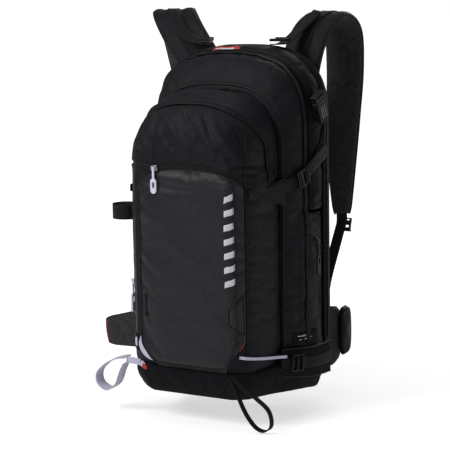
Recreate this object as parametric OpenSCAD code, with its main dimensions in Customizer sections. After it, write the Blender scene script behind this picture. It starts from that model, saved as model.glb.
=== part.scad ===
// Avalanche airbag backpack of about 36 litres, standing upright on its base.
// The wearer faces +Y: the back panel is at +Y, the front pocket at -Y, and +X is the wearer's right.
// The origin is the centre of the flat underside. All lengths are in millimetres.

/* [Body] */
// Height from the underside to the top of the airbag sleeve
body_h = 577; // [570:1:590]
// Width across the airbag sleeve, the widest part of the bag
back_w = 298; // [292:1:304]
// Width of the front pocket where it meets the main compartment
front_w = 238; // [232:1:242]
// Height of the base tray
base_h = 34; // [30:1:36]
// Thickness of a sewn wall with its lining
wall = 2.5; // [2:0.5:3]

/* [Harness] */
// Width of a shoulder strap at the shoulder
strap_w = 74; // [66:1:80]
// Thickness of a shoulder strap pad
strap_t = 13; // [10:1:14]
// Thickness of a hip belt wing
wing_t = 14; // [10:1:15]
// Width of the belt webbing
belt_web_w = 38; // [30:1:38]

/* [Webbing] */
// Width of the narrow webbing on straps and compression
web_w = 20; // [18:1:22]
// Thickness of all webbing
web_t = 1.8; // [1.4:0.1:2.2]

/* [Airbag system] */
// Diameter of the gas cartridge
cartridge_d = 50; // [44:1:54]
// Length of the cartridge's straight wall
cartridge_l = 150; // [130:1:170]

/* [Hidden] */

$fn = 32;

// Y stations of the bag's layers, from the front face to the back contact face.
front_y = -124;
pocket_back_y = -12;
main_front_y = -10.5;
main_back_y = 45;
sleeve_front_y = 53;
sleeve_back_y = 100;
sheet_y = 101;
stay_y = 103;
panel_y = 107;
panel_t = 18;
contact_y = panel_y + panel_t;

top_rise = 120;
squareness = 0.74;
foot_r = 22;
layer_z = base_h + 2;
sleeve_band = 44;
sleeve_foot = 300;
flap_z = 392;
zip_y = -50;

// Each station is [y, width, lowest z, highest z].
pocket_stations = [
    [front_y, front_w - 50, layer_z + 26, body_h - 128],
    [front_y + 20, front_w - 14, layer_z + 4, body_h - 94],
    [zip_y, front_w - 2, layer_z, body_h - 71],
    [pocket_back_y, front_w, layer_z, body_h - 69]
];
main_stations = [
    [main_front_y, back_w - 44, layer_z, body_h - 61],
    [20, back_w - 20, layer_z, body_h - 14],
    [main_back_y, back_w - 12, layer_z, body_h - 12]
];

cartridge_x = 45;
cartridge_y = 58;
cartridge_z = 90;
neck_z = cartridge_z + cartridge_l + cartridge_d / 2 + 14;
head_z = neck_z + 2;

fabric = [0.13, 0.13, 0.14];
fabric_dark = [0.08, 0.08, 0.09];
coated = [0.19, 0.19, 0.2];
mesh_grey = [0.2, 0.19, 0.19];
webbing = [0.1, 0.1, 0.1];
plastic = [0.07, 0.07, 0.08];
pull_white = [0.85, 0.87, 0.95];
metal = [0.75, 0.76, 0.78];

// ---------- shared geometry ----------

function unit(v) = v / norm(v);
function spow(v, e) = sign(v) * pow(abs(v), e);

// Closed outline in XZ: straight sides, a crowned superelliptic top and round feet.
function outline(w, z0, z1, rise = top_rise, foot = foot_r) = concat(
    [for (a = [-90:18:0]) [w / 2 - foot + foot * cos(a), z0 + foot + foot * sin(a)]],
    [for (a = [0:9:180]) [w / 2 * spow(cos(a), squareness), z1 - rise + rise * spow(sin(a), squareness)]],
    [for (a = [180:18:270]) [-w / 2 + foot + foot * cos(a), z0 + foot + foot * sin(a)]]
);

function catmull(a, b, c, d, t) =
    0.5 * (2 * b + (c - a) * t + (2 * a - 5 * b + 4 * c - d) * t * t
    + (3 * b - a - 3 * c + d) * t * t * t);

// Smooth curve through the points p, with n steps between neighbours.
function smooth(p, n = 5) = concat(
    [for (i = [0:len(p) - 2], k = [0:n - 1])
        catmull(p[max(i - 1, 0)], p[i], p[i + 1], p[min(i + 2, len(p) - 1)], k / n)],
    [p[len(p) - 1]]
);
function tangent(p, i) = unit(p[min(i + 1, len(p) - 1)] - p[max(i - 1, 0)]);
function square_to(t, ref) = unit(ref - (ref * t) * t);
function mirrored(p) = [for (q = p) [-q.x, q.y, q.z]];

// Draws children in a frame whose local X, Y and Z lie along x, y and x cross y.
module place(pos, x, y) {
    z = cross(x, y);
    multmatrix([[x.x, y.x, z.x, pos.x], [x.y, y.y, z.y, pos.y], [x.z, y.z, z.z, pos.z]]) children();
}
module on_left(pos) place(pos, [0, -1, 0], [0, 0, 1]) children();
module on_right(pos) place(pos, [0, 1, 0], [0, 0, 1]) children();
module on_front(pos) place(pos, [1, 0, 0], [0, 0, 1]) children();

// Extrudes a 2D shape, drawn in X and Z, between two Y values.
module prism_y(y0, y1) translate([0, y1, 0]) rotate([90, 0, 0]) linear_extrude(y1 - y0) children();

module box(size, at = [0, 0, 0]) translate(at) cube(size, center = true);

// Convex bag layer through its stations, shrunk by d on every side.
module form(stations, d = 0) {
    slab = 0.1;
    last = len(stations) - 1;
    hull() for (i = [0:last]) {
        s = stations[i];
        y = s[0] + (i == 0 ? d : i == last ? -d - slab : 0);
        prism_y(y, y + slab) polygon(outline(s[1] - 2 * d, s[2] + d, s[3] - d, top_rise - d));
    }
}

// Flat strap swept along points, with its width along ref. It narrows to width_end; a higher
// taper keeps it wide for longer.
module band(points, ref, width, thick, width_end = undef, taper = 1, bevel = 0, n = 5) {
    path = smooth(points, n);
    last = len(path) - 1;
    end_width = is_undef(width_end) ? width : width_end;
    b = max(bevel, 0.01);
    corners = bevel > 0 ? 8 : 4;
    pts = [for (i = [0:last])
        let (f = pow(i / last, taper), t = tangent(path, i), a = square_to(t, ref),
            v = cross(t, a), w = (width * (1 - f) + end_width * f) / 2, h = thick / 2)
        each [for (c = bevel > 0
            ? [[w, h - b], [w - b, h], [b - w, h], [-w, h - b], [-w, b - h], [b - w, -h], [w - b, -h], [w, b - h]]
            : [[w, h], [-w, h], [-w, -h], [w, -h]]) path[i] + a * c.x + v * c.y]];
    sides = [for (i = [0:last - 1], k = [0:corners - 1])
        let (p = i * corners + k, q = i * corners + (k + 1) % corners)
        each [[q, p, p + corners], [q + corners, q, p + corners]]];
    caps = [[for (k = [0:corners - 1]) k], [for (k = [corners - 1:-1:0]) last * corners + k]];
    polyhedron(points = pts, faces = concat(sides, caps), convexity = 6);
}

// Slider body on the XY plane, with the pin of its bail along X. The zip runs along Y, turned by turn.
pin_h = 5.6;
pin_r = 1;
module slider(turn = 0) color(metal) {
    rotate([0, 0, turn]) difference() {
        box([9, 12, 3], [0, 0, 1.9]);
        for (s = [-1, 1]) translate([s * 6.6, 6, 1.9]) rotate([0, 0, s * 30]) box([6, 12, 4]);
    }
    for (s = [-1, 1]) box([1.3, 6, 4.6], [s * 3, 0, pin_h - 1.2]);
    translate([-3.6, 0, pin_h]) rotate([0, 90, 0]) cylinder(h = 7.2, r = pin_r);
}

// Moulded pull that hangs from the pin towards -Y: an eye, a stem and a grip with an oval hole.
module pull(length, colour) color(colour) {
    eye_w = 3.6;
    stem = length * 0.4;
    grip = length - stem;
    difference() {
        union() {
            translate([-eye_w / 2, 0, pin_h]) rotate([0, 90, 0]) cylinder(h = eye_w, r = 2);
            box([eye_w, stem, 2.4], [0, -stem / 2 - 1, pin_h]);
            box([11, grip - 11, 3.2], [0, -stem - grip / 2, pin_h]);
            for (y = [5.5, grip - 5.5])
                translate([0, -stem - y, pin_h - 1.6]) cylinder(h = 3.2, r = 5.5);
        }
        translate([-eye_w, 0, pin_h]) rotate([0, 90, 0]) cylinder(h = 2 * eye_w, r = pin_r + 0.08);
        for (y = [8, 14]) translate([0, -stem - y, 0]) cylinder(h = 20, r = 2.2);
        box([4.4, 6, 20], [0, -stem - 11, pin_h]);
    }
}

// Ladder-lock buckle for webbing of width w that runs along Y. Its anchor bar lies on the X axis.
module ladder_lock(w) color(plastic) {
    bar_r = 1.7;
    difference() {
        box([w + 8, 24, 4.6], [0, 6, 0]);
        box([w + 2, 6.2, 12], [0, -1, 0]);
        box([w + 2, 4.4, 12], [0, 9, 0]);
    }
    translate([-w / 2 - 2, 0, 0]) rotate([0, 90, 0]) cylinder(h = w + 4, r = bar_r);
    box([w + 8, 3, 2.4], [0, 16.5, 3.2]);
}

// Side-release buckle: the socket is open at y = 0 towards +Y, and the plug slides out that way.
module release_socket(w, l, t) color(plastic) difference() {
    union() {
        box([w, l, t], [0, -l / 2, 0]);
        box([w - 6, 6, t * 0.5], [0, -l - 3, 0]);
    }
    box([w - 5, 2 * l - 16, t - 3.6]);
    for (s = [-1, 1]) box([8, l * 0.34, t - 3.6], [s * w / 2, -l * 0.52, 0]);
    box([w - 10, 3, t], [0, -l - 2.5, 0]);
}
module release_plug(w, l, t) color(plastic) difference() {
    union() {
        box([w, 12, t], [0, 6.6, 0]);
        box([w * 0.16, l * 0.6, t - 4.8], [0, -l * 0.3 + 1, 0]);
        for (s = [-1, 1]) {
            box([w * 0.1, l * 0.72, t - 4.8], [s * w * 0.3, -l * 0.36 + 1, 0]);
            box([w * 0.16, l * 0.2, t - 4.8], [s * w * 0.33, -l * 0.62, 0]);
        }
    }
    box([w - 6, 3, 2 * t], [0, 8.6, 0]);
}

// ---------- bag ----------

// Flat-bottomed tray that the bag's layers are sewn to.
module base_tray() color(fabric_dark) {
    plan = [
        [-80, -104], [80, -104], [102, -88], [114, -12], [126, 20], [130, 84], [118, 98],
        [-118, 98], [-130, 84], [-126, 20], [-114, -12], [-102, -88]
    ];
    linear_extrude(base_h) polygon(plan);
}

module flap_region(gap = 0) translate([-250, -300, flap_z - gap]) cube([500, zip_y + 300 + gap, 400]);

module front_pocket() color(fabric) difference() {
    form(pocket_stations);
    form(pocket_stations, wall);
    flap_region(0.8);
}

// Top of the front pocket, which folds forward and down when the arched zip is open.
module front_flap() color(fabric) intersection() {
    difference() {
        form(pocket_stations);
        form(pocket_stations, wall);
    }
    flap_region();
}

// Coated outer panel of the flat stash pocket, with cut lower corners and an arched top edge.
stash_z = [46, 352, 384];
stash_w = [160, 212];
module stash_panel() color(coated) intersection() {
    difference() {
        form(pocket_stations, -2.6);
        form(pocket_stations, -0.3);
    }
    prism_y(-200, -84) polygon(concat(
        [[-stash_w[0] / 2, stash_z[0]], [stash_w[0] / 2, stash_z[0]], [stash_w[1] / 2, stash_z[0] + 46]],
        [for (a = [0:15:180]) [
            stash_w[1] / 2 * cos(a), stash_z[1] + (stash_z[2] - stash_z[1]) * sin(a)]],
        [[-stash_w[1] / 2, stash_z[0] + 46]]
    ));
}

core_w = back_w - 2 * sleeve_band - 4;
core_top = body_h - sleeve_band - 2;

// Full-width below the airbag sleeve, and narrow between the sleeve's two legs.
module main_rear(d) {
    prism_y(main_back_y - (d > 0 ? 6 : 0.2), sleeve_back_y - 1.6 - d) union() {
        translate([-back_w / 2 + 4 + d, layer_z + d])
            square([back_w - 8 - 2 * d, sleeve_foot - 2 - layer_z - 2 * d]);
        polygon(outline(core_w - 2 * d, layer_z + d, core_top - d, top_rise - 36 - d));
    }
}
module main_compartment() color(fabric) difference() {
    union() {
        form(main_stations);
        main_rear(0);
    }
    form(main_stations, wall);
    main_rear(wall);
}

// Horseshoe tube over the top of the pack that holds the packed airbag.
module horseshoe(d) {
    prism_y(sleeve_front_y + d, sleeve_back_y - d) difference() {
        polygon(outline(back_w - 2 * d, sleeve_foot + d, body_h - d, top_rise - d, 4));
        polygon(outline(
            back_w - 2 * sleeve_band + 2 * d, sleeve_foot - 80, body_h - sleeve_band + d, top_rise - 34 + d, 4));
    }
}
module airbag_sleeve() color(fabric) difference() {
    horseshoe(0);
    horseshoe(wall);
}
module airbag_roll() color([0.85, 0.3, 0.1]) horseshoe(wall + 3);

module back_panel() color(mesh_grey)
    prism_y(panel_y, contact_y) polygon(outline(back_w - 22, base_h + 16, body_h - 34, 104, 36));

module lumbar_pad() color(fabric_dark)
    prism_y(contact_y + 0.6, contact_y + 11) polygon(outline(170, base_h + 24, base_h + 118, 40, 24));

module frame_sheet() color(plastic)
    prism_y(sheet_y, sheet_y + 1.5) polygon(outline(back_w - 40, base_h + 14, body_h - 44, 96, 20));

module frame_stays() color(metal) for (s = [-1, 1])
    box([24, 3, 410], [s * 62, stay_y + 1.6, 275]);

// ---------- airbag system ----------

module gas_cartridge() color([0.35, 0.37, 0.4]) translate([cartridge_x, cartridge_y, 0]) {
    r = cartridge_d / 2;
    translate([0, 0, cartridge_z]) cylinder(h = cartridge_l, r = r, $fn = 64);
    translate([0, 0, cartridge_z]) scale([1, 1, 0.5]) sphere(r = r, $fn = 64);
    translate([0, 0, cartridge_z + cartridge_l]) sphere(r = r, $fn = 64);
    translate([0, 0, cartridge_z + cartridge_l]) cylinder(h = r + 8, r = 12);
}

// Valve head that the cartridge screws into, with a side port for the piercing plunger.
module inflator_head() color(metal) translate([cartridge_x, cartridge_y, head_z]) {
    difference() {
        translate([0, 0, -12]) cylinder(h = 52, r = 19);
        translate([0, 0, -13]) cylinder(h = 18, r = 12.6);
        translate([0, 0, 20]) cylinder(h = 30, r = 9);
        translate([-40, 0, 12]) rotate([0, 90, 0]) cylinder(h = 36, r = 4.05);
    }
    translate([-30, 0, 12]) rotate([0, 90, 0]) difference() {
        cylinder(h = 13, r = 9);
        translate([0, 0, -1]) cylinder(h = 15, r = 4.05);
    }
}

// Piercing plunger that the trigger cable drives into the valve head.
module trigger_plunger() color(metal) translate([cartridge_x, cartridge_y, head_z + 12]) {
    translate([-44, 0, 0]) rotate([0, 90, 0]) cylinder(h = 27, r = 4);
    translate([-50, 0, 0]) rotate([0, 90, 0]) cylinder(h = 6, r = 7);
}

// Elbow hose from the valve head to the foot of the airbag's right leg.
module outlet_hose() color(fabric_dark) translate([cartridge_x, cartridge_y, head_z + 41]) {
    bend = 20;
    cylinder(h = 12, r = 14);
    translate([bend, 0, 10]) rotate([90, 0, 0]) rotate([0, 0, 90])
        rotate_extrude(angle = 90) translate([bend, 0]) circle(r = 10);
    translate([bend - 1, 0, 10 + bend]) rotate([0, 90, 0]) cylinder(h = 22, r = 12);
}

cable_path = [
    [cartridge_x - 56, cartridge_y, head_z + 12], [-32, 60, 330], [-52, 62, 400], [-56, 66, 450], [-56, 68, 500]
];
module trigger_cable() color(plastic) band(cable_path, [0, 1, 0], 6, 6, bevel = 1.7);

// ---------- zips ----------

zip_w = 5;
side_zip = [[148.6, 54, 254], [148.6, 92, 229]];

function pocket_x(y) = let (a = pocket_stations[1], b = pocket_stations[2])
    (a[1] + (b[1] - a[1]) * (y - a[0]) / (b[0] - a[0])) / 2;
tool_zip_y = [-92, -77];
tool_zip_z = [84, 250];
function tool_at(i, z) = [-pocket_x(tool_zip_y[i]) - 2.4, tool_zip_y[i], z];

arc_w = stash_w[1] / 2;
arc_h = stash_z[2] - stash_z[1];

// Coils of the stash pocket, the arched flap zip, the tool zip and the side pocket zip.
module zipper_tracks() color(plastic) {
    prism_y(zip_y + 1, zip_y + 12) intersection() {
        difference() {
            polygon(outline(front_w + 6, layer_z, body_h - 66, top_rise + 2));
            polygon(outline(front_w + 2, layer_z, body_h - 68, top_rise));
        }
        translate([-200, flap_z + 1]) square([400, 300]);
    }
    prism_y(front_y - 2.4, front_y - 0.4) polygon(concat(
        [for (a = [35:10:145]) [(arc_w + 1.5) * cos(a), stash_z[1] + (arc_h + 1.5) * sin(a)]],
        [for (a = [145:-10:35]) [(arc_w + 4) * cos(a), stash_z[1] + (arc_h + 4.5) * sin(a)]]
    ));
    for (i = [0, 1]) translate(tool_at(i, tool_zip_z[0]) - [0, zip_w / 2, 0])
        cube([1.6, zip_w, tool_zip_z[1] - tool_zip_z[0]]);
    band(side_zip, [0, 0.6, 0.8], zip_w, 1.6);
}

// Coil round the edge of the back panel, which unzips for access to the main compartment.
module back_access_zip() color(plastic) prism_y(sleeve_back_y + 1, sleeve_back_y + 6) difference() {
    polygon(outline(back_w + 5, 60, body_h + 2));
    polygon(outline(back_w - 1, 20, body_h - 1));
}

// ---------- straps on the bag ----------

compression_path = [
    [114.5, -96, 336], [119.5, -60, 340], [131, -11, 348], [142.5, 21, 360], [151, 50, 378], [152.5, 96, 402]
];
module compression_webbing() color(webbing) {
    for (p = [compression_path, mirrored(compression_path)]) band(p, [0, -0.35, 0.94], web_w + 2, web_t);
}

// Buckle frames: [origin, across the webbing, along the webbing].
compression_at = [[142.5, 14, 358], unit([0.05, -0.42, 0.9]), unit([0.27, 0.86, 0.4])];
module compression_buckle(s) {
    x = square_to(compression_at[2], compression_at[1]);
    y = compression_at[2];
    mirror([s < 0 ? 1 : 0, 0, 0]) translate([4.6, 0, 0]) place(compression_at[0], -x, y) ladder_lock(web_w + 2);
}
module compression_buckle_left() compression_buckle(-1);
module compression_buckle_right() compression_buckle(1);

accessory_axis = unit([0, 0.42, -0.9]);
accessory_pos = [156.2, 62, 486];
module accessory_frame() place(accessory_pos, unit([0, -0.9, -0.42]), -accessory_axis) children();
module accessory_socket() accessory_frame() release_socket(30, 34, 11);
module accessory_plug() accessory_frame() release_plug(30, 34, 11);

lifter_path_right = [[64, 80, body_h + 1], [66, 110, body_h + 3], [76, 142, 600], [92, 184, 632]];
lifter_path_left = [
    [-84, 80, body_h + 1], [-92, 110, body_h + 3], [-124, 126, 584], [-160, 139, 600], [-192, 158, 632]
];
module lifter_buckle_left() place([-86, 90, body_h + 8], unit([1, 0.2, 0]), unit([-0.2, 1, 0])) ladder_lock(web_w);
module lifter_buckle_right() place([65, 90, body_h + 8], [1, 0, 0], [0, 1, 0]) ladder_lock(web_w);

lower_web_right = [[124, 132, 128], [124, 148, 168], [124, 178, 216], [124, 205, 258]];
lower_web_left = [[-124, 132, 128], [-128, 150, 168], [-136, 184, 216], [-145, 215, 258]];
module strap_webbing_left() color(webbing) {
    band(lifter_path_left, [1, 0.1, 0], web_w, web_t);
    band(lower_web_left, [1, 0, 0], web_w, web_t);
}
module strap_webbing_right() color(webbing) {
    band(lifter_path_right, [1, 0, 0], web_w, web_t);
    band(lower_web_right, [1, 0, 0], web_w, web_t);
}

stabiliser_right = [[126, -24, 52], [140, 4, 50], [154, 44, 46], [158, 92, 46]];
module belt_stabilisers() color(webbing)
    for (p = [stabiliser_right, mirrored(stabiliser_right)]) band(p, [0, 0, 1], 46, 3, width_end = 54);

handle_path = [[-24, 136, 538], [-27, 136, 520], [-15, 136, 508], [15, 136, 508], [27, 136, 520], [24, 136, 538]];
module haul_handle() color(webbing) band(handle_path, [0, 1, 0], web_w - 2, 3);

// ---------- loops ----------

ski_loop_path = [
    [-122, -112, 56], [-142, -108, 52], [-166, -103, 42], [-189, -100, 22], [-190, -98, 2], [-172, -97, -8],
    [-152, -100, 4], [-138, -106, 28], [-125, -113, 46]
];
module ski_loop_left() color(pull_white) band(ski_loop_path, [0.25, 1, 0.2], 15, web_t, n = 4);

module ski_loop_right() color(pull_white)
    band([[114, -106, 66], [126, -70, 62], [130, -40, 60], [134, -16, 60]], [0, 0, 1], 9, web_t);

axe_loop_path = [
    [84, -116, 42], [98, -118, 16], [112, -116, -14], [128, -112, -36], [142, -106, -42], [152, -102, -32],
    [148, -104, -8], [130, -112, 12], [106, -118, 30], [88, -116, 46]
];
module axe_loop() color(webbing) band(axe_loop_path, [0.3, 1, 0.2], 8, web_t + 0.4, n = 4);

gear_loop_r = 20;
gear_loop_pos = [-141.5, -80, 302];
module gear_loop() color(webbing) translate(gear_loop_pos) {
    difference() {
        cylinder(h = 26, r = gear_loop_r + 2, center = true, $fn = 64);
        cylinder(h = 28, r = gear_loop_r, center = true, $fn = 64);
    }
    box([4, 24, 26], [gear_loop_r + 3.4, 0, 0]);
}

// ---------- shoulder straps ----------

strap_right_path = [
    [76, 136, 470], [80, 140, 536], [88, 168, 598], [100, 210, 624], [108, 246, 598], [109, 253, 530],
    [110, 242, 440], [116, 224, 350], [123, 210, 274]
];
strap_left_path = [
    [-86, 140, 470], [-116, 144, 530], [-164, 154, 590], [-204, 182, 628], [-226, 222, 618], [-222, 246, 548],
    [-196, 246, 440], [-164, 232, 350], [-146, 220, 274]
];
module shoulder_strap_left() color(fabric)
    band(strap_left_path, [1, 0.1, 0], strap_w, strap_t, width_end = 32, taper = 4, bevel = 4.5);
module shoulder_strap_right() color(fabric)
    band(strap_right_path, [1, 0, 0], strap_w, strap_t, width_end = 32, taper = 4, bevel = 4.5);

// Frame of the flat outer face of a strap between two of its points, with its origin on the face.
module on_strap(path, i, across, f = 0.5) {
    t = unit(path[i + 1] - path[i]);
    x = square_to(t, across);
    at = path[i] * (1 - f) + path[i + 1] * f;
    place(at + cross(x, t) * (strap_t / 2 + 1), x, t) children();
}

module strap_buckle_right() place([124, 216, 261], [1, 0, 0], unit([0, -0.3, -0.95])) ladder_lock(web_w);
module strap_buckle_left() place([-145, 226, 261], [1, 0, 0], unit([0, -0.3, -0.95])) ladder_lock(web_w);

// Clip that slides on the strap, with its half of the sternum webbing and its end fitting.
module sternum_half(s, reach) {
    color(plastic) {
        box([34, 16, 4], [0, 0, 2.4]);
        box([6, 20, 3], [s * 19.4, 0, 8]);
    }
    color(webbing) box([reach, 16, web_t], [s * (17 + reach / 2 + 6), 0, 8]);
    color(plastic) box([7, 14, 4], [s * 17, 0, 5]);
    color(plastic) difference() {
        box([26, 24, 7], [s * (reach + 36), 0, 8]);
        box([14, 16, 3.4], [s * (reach + 44), 0, 8]);
        box([2.4, 18, 9], [s * (reach + 27), 0, 8]);
    }
}
module sternum_strap_right() on_strap(strap_right_path, 6, [1, 0, 0], 0.35) sternum_half(-1, 20);
module sternum_strap_left() on_strap(strap_left_path, 6, [1, 0.1, 0], 0.35) sternum_half(1, 60);

// Sleeve on the left strap that keeps the trigger handle out of the way, and the handle below it.
module trigger_pocket() color(fabric_dark) on_strap(strap_left_path, 5, [1, 0.1, 0], 0.3) difference() {
    box([34, 46, 13], [0, 0, 11]);
    box([26, 60, 8], [0, 4, 11]);
}
module trigger_handle() color([0.75, 0.08, 0.06]) on_strap(strap_left_path, 5, [1, 0.1, 0], 0.3) {
    box([18, 40, 6], [0, 8, 11]);
    difference() {
        box([44, 20, 9], [0, 37, 11]);
        box([26, 7, 20], [0, 38, 11]);
    }
}

// ---------- hip belt ----------

wing_z = 66;
wing_right_path = [
    [126, 138, wing_z], [130, 156, wing_z], [126, 178, wing_z], [111, 200, wing_z], [84, 218, wing_z], [46, 230, wing_z]
];
wing_left_path = [[-132, 136, 62], [-180, 139, 57], [-235, 138, 49], [-290, 133, 41], [-334, 128, 36]];
module hip_wing_right() color(fabric)
    band(wing_right_path, [0, 0, 1], 108, wing_t, width_end = 54, bevel = 4);
module hip_wing_left() color(fabric)
    band(wing_left_path, [0, 0, 1], 100, wing_t, width_end = 50, bevel = 4);

pocket_t = 16;
module hip_pocket() color(fabric)
    band([[147, 158, 74], [141.8, 185.5, 74], [123, 213, 74]], [0, 0, 1], 88, pocket_t, width_end = 68, bevel = 5);

belt_web_right = [[60, 237, wing_z], [38, 244, wing_z], [14, 248, wing_z], [-5, 250, wing_z]];
belt_web_left = [[-328, 140, 36.7], [-306, 145, 39.5], [-284, 149, 42], [-266, 151, 45]];
module belt_webbing_right() color(webbing) band(belt_web_right, [0, 0, 1], belt_web_w, web_t);
module belt_webbing_left() color(webbing) band(belt_web_left, [0, 0, 1], belt_web_w, web_t);

module belt_socket() place([-226, 152, 48], [0, 0, 1], [1, 0, 0]) release_socket(50, 30, 12);
module belt_plug() place([-20, 250, wing_z], [0, 0, 1], [1, 0, 0]) release_plug(50, 34, 12);

// ---------- sliders and pulls ----------

stash_at = [-48, front_y - 2.6, 383.6];
arch_at = [-122.4, zip_y + 6, 424];
tool_upper_at = tool_at(0, 186);
tool_lower_at = tool_at(1, 162);
side_at = [149.6, 60, 250];

module stash_slider() on_front(stash_at) slider(98);
module stash_pull() on_front(stash_at) pull(42, pull_white);
module arch_slider() on_left(arch_at) slider();
module arch_pull() on_left(arch_at) pull(46, plastic);
module tool_slider_upper() on_left(tool_upper_at) slider();
module tool_pull_upper() on_left(tool_upper_at) pull(56, pull_white);
module tool_slider_lower() on_left(tool_lower_at) slider();
module tool_pull_lower() on_left(tool_lower_at) pull(56, pull_white);
module side_slider() on_right(side_at) slider(57);
module side_pull() on_right(side_at) pull(58, plastic);

base_tray();
front_pocket();
stash_panel();
main_compartment();
airbag_sleeve();
back_panel();
frame_sheet();
frame_stays();
lumbar_pad();
gas_cartridge();
inflator_head();
outlet_hose();
airbag_roll();
trigger_cable();
zipper_tracks();
back_access_zip();
compression_webbing();
strap_webbing_left();
strap_webbing_right();
belt_stabilisers();
accessory_socket();
accessory_plug();
front_flap();
haul_handle();
ski_loop_left();
ski_loop_right();
axe_loop();
gear_loop();
shoulder_strap_left();
shoulder_strap_right();
lifter_buckle_left();
lifter_buckle_right();
strap_buckle_left();
strap_buckle_right();
compression_buckle_left();
compression_buckle_right();
sternum_strap_left();
sternum_strap_right();
trigger_pocket();
trigger_handle();
trigger_plunger();
hip_wing_left();
hip_wing_right();
hip_pocket();
belt_webbing_left();
belt_webbing_right();
belt_socket();
belt_plug();
stash_slider();
stash_pull();
arch_slider();
arch_pull();
tool_slider_upper();
tool_pull_upper();
tool_slider_lower();
tool_pull_lower();
side_slider();
side_pull();
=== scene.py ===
"""Looks of the avalanche airbag backpack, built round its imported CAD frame.

Lengths are in millimetres until a mesh is made. +X is the wearer's right, +Y their back and +Z up.
"""

import math

import bmesh
import bpy
import numpy as np
from mathutils import Matrix, Vector, kdtree, noise
from mathutils.bvhtree import BVHTree


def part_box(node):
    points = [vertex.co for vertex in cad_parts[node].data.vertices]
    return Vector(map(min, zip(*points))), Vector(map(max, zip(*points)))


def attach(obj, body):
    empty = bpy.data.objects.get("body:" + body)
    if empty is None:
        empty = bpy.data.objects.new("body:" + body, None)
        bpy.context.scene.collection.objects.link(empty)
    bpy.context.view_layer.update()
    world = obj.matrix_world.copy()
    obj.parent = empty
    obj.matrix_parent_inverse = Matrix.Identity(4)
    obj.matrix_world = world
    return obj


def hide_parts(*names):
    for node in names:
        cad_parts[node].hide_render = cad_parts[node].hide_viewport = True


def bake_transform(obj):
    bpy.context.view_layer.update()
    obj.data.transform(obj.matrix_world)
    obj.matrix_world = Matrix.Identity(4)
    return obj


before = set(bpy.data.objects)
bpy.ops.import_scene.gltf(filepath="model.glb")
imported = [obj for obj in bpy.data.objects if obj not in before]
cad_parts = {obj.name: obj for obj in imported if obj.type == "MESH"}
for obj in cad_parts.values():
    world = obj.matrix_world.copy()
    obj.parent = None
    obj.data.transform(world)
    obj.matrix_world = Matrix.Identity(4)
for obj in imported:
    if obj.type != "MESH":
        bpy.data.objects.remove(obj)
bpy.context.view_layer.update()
scene = bpy.context.scene
MM = 0.001


# ---------- numbers shared with the CAD ----------

def cad(name):
    """Lowest and highest corner of a CAD node, in millimetres."""
    lo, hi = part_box(name)
    return np.array(lo) / MM, np.array(hi) / MM


POCKET_LO, POCKET_HI = cad("front_pocket")
SLEEVE_LO, SLEEVE_HI = cad("airbag_sleeve")
MAIN_LO, MAIN_HI = cad("main_compartment")
PANEL_LO, PANEL_HI = cad("back_panel")
LUMBAR_LO, LUMBAR_HI = cad("lumbar_pad")

BODY_H = SLEEVE_HI[2]
BACK_W = 2 * SLEEVE_HI[0]
FRONT_W = 2 * POCKET_HI[0]
LAYER_Z = MAIN_LO[2]
FRONT_Y, POCKET_BACK_Y = POCKET_LO[1], POCKET_HI[1]
MAIN_FRONT_Y, MAIN_BACK_Y = MAIN_LO[1], 45.0
TOP_RISE, SQUARENESS, FOOT_R = 120.0, 0.74, 22.0
SLEEVE_BAND = 44.0

# The flap is cut along ZIP_Y and FLAP_Z. Its zip lies ZIP_LEAD behind the cut and veers forward by
# ZIP_VEER from VEER_Z to VEER_Z + VEER_RISE.
ZIP_Y, FLAP_Z, ZIP_LEAD = -50.0, 388.0, 6.0
VEER_Z, VEER_RISE, ZIP_VEER = 415.0, 75.0, 44.0

# Each station is (y, width, lowest z, highest z).
POCKET_STATIONS = [
    (FRONT_Y, FRONT_W - 50, LAYER_Z + 26, BODY_H - 128),
    (FRONT_Y + 20, FRONT_W - 14, LAYER_Z + 4, BODY_H - 94),
    (ZIP_Y, FRONT_W - 2, LAYER_Z, BODY_H - 71),
    (POCKET_BACK_Y, FRONT_W, LAYER_Z, BODY_H - 69),
]
MAIN_STATIONS = [
    (MAIN_FRONT_Y, BACK_W - 44, LAYER_Z, BODY_H - 61),
    (20.0, BACK_W - 20, LAYER_Z, BODY_H - 14),
    (MAIN_BACK_Y, BACK_W - 12, LAYER_Z, BODY_H - 12),
]

# Stash panel: lowest z, the top's z at its sides and its middle, its two sides, and for each cut lower
# corner the x where the cut starts and how high it ends.
STASH_LOW, STASH_SIDE_TOP, STASH_TOP = 46.0, 352.0, 384.0
STASH_X = (-84.0, 109.0)
STASH_CUT = ((-54.0, 42.0), (73.0, 56.0))


# ---------- curves ----------

def unit(v):
    v = np.asarray(v, float)
    return v / np.linalg.norm(v)


def spow(v, e):
    return np.copysign(np.abs(v) ** e, v)


def outline(w, z0, z1, rise=TOP_RISE, foot=FOOT_R):
    """Closed outline in XZ, from the right foot over the crowned top to the left foot."""
    pts = [(w / 2 - foot + foot * math.cos(math.radians(a)), z0 + foot + foot * math.sin(math.radians(a)))
           for a in range(-90, 1, 9)]
    pts += top_arc(w, z1, rise, 3)
    pts += [(-w / 2 + foot + foot * math.cos(math.radians(a)), z0 + foot + foot * math.sin(math.radians(a)))
            for a in range(180, 271, 9)]
    return pts


def top_arc(w, z1, rise, fine):
    """The crowned top alone, from right to left."""
    return [(w / 2 * spow(math.cos(math.radians(a)), SQUARENESS),
             z1 - rise + rise * spow(math.sin(math.radians(a)), SQUARENESS)) for a in range(0, 181, fine)]


def at_y(pts, y):
    return np.array([(x, y, z) for x, z in pts])


def station_line(y, w, z0, z1):
    return at_y(outline(w, z0, z1), y)


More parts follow.
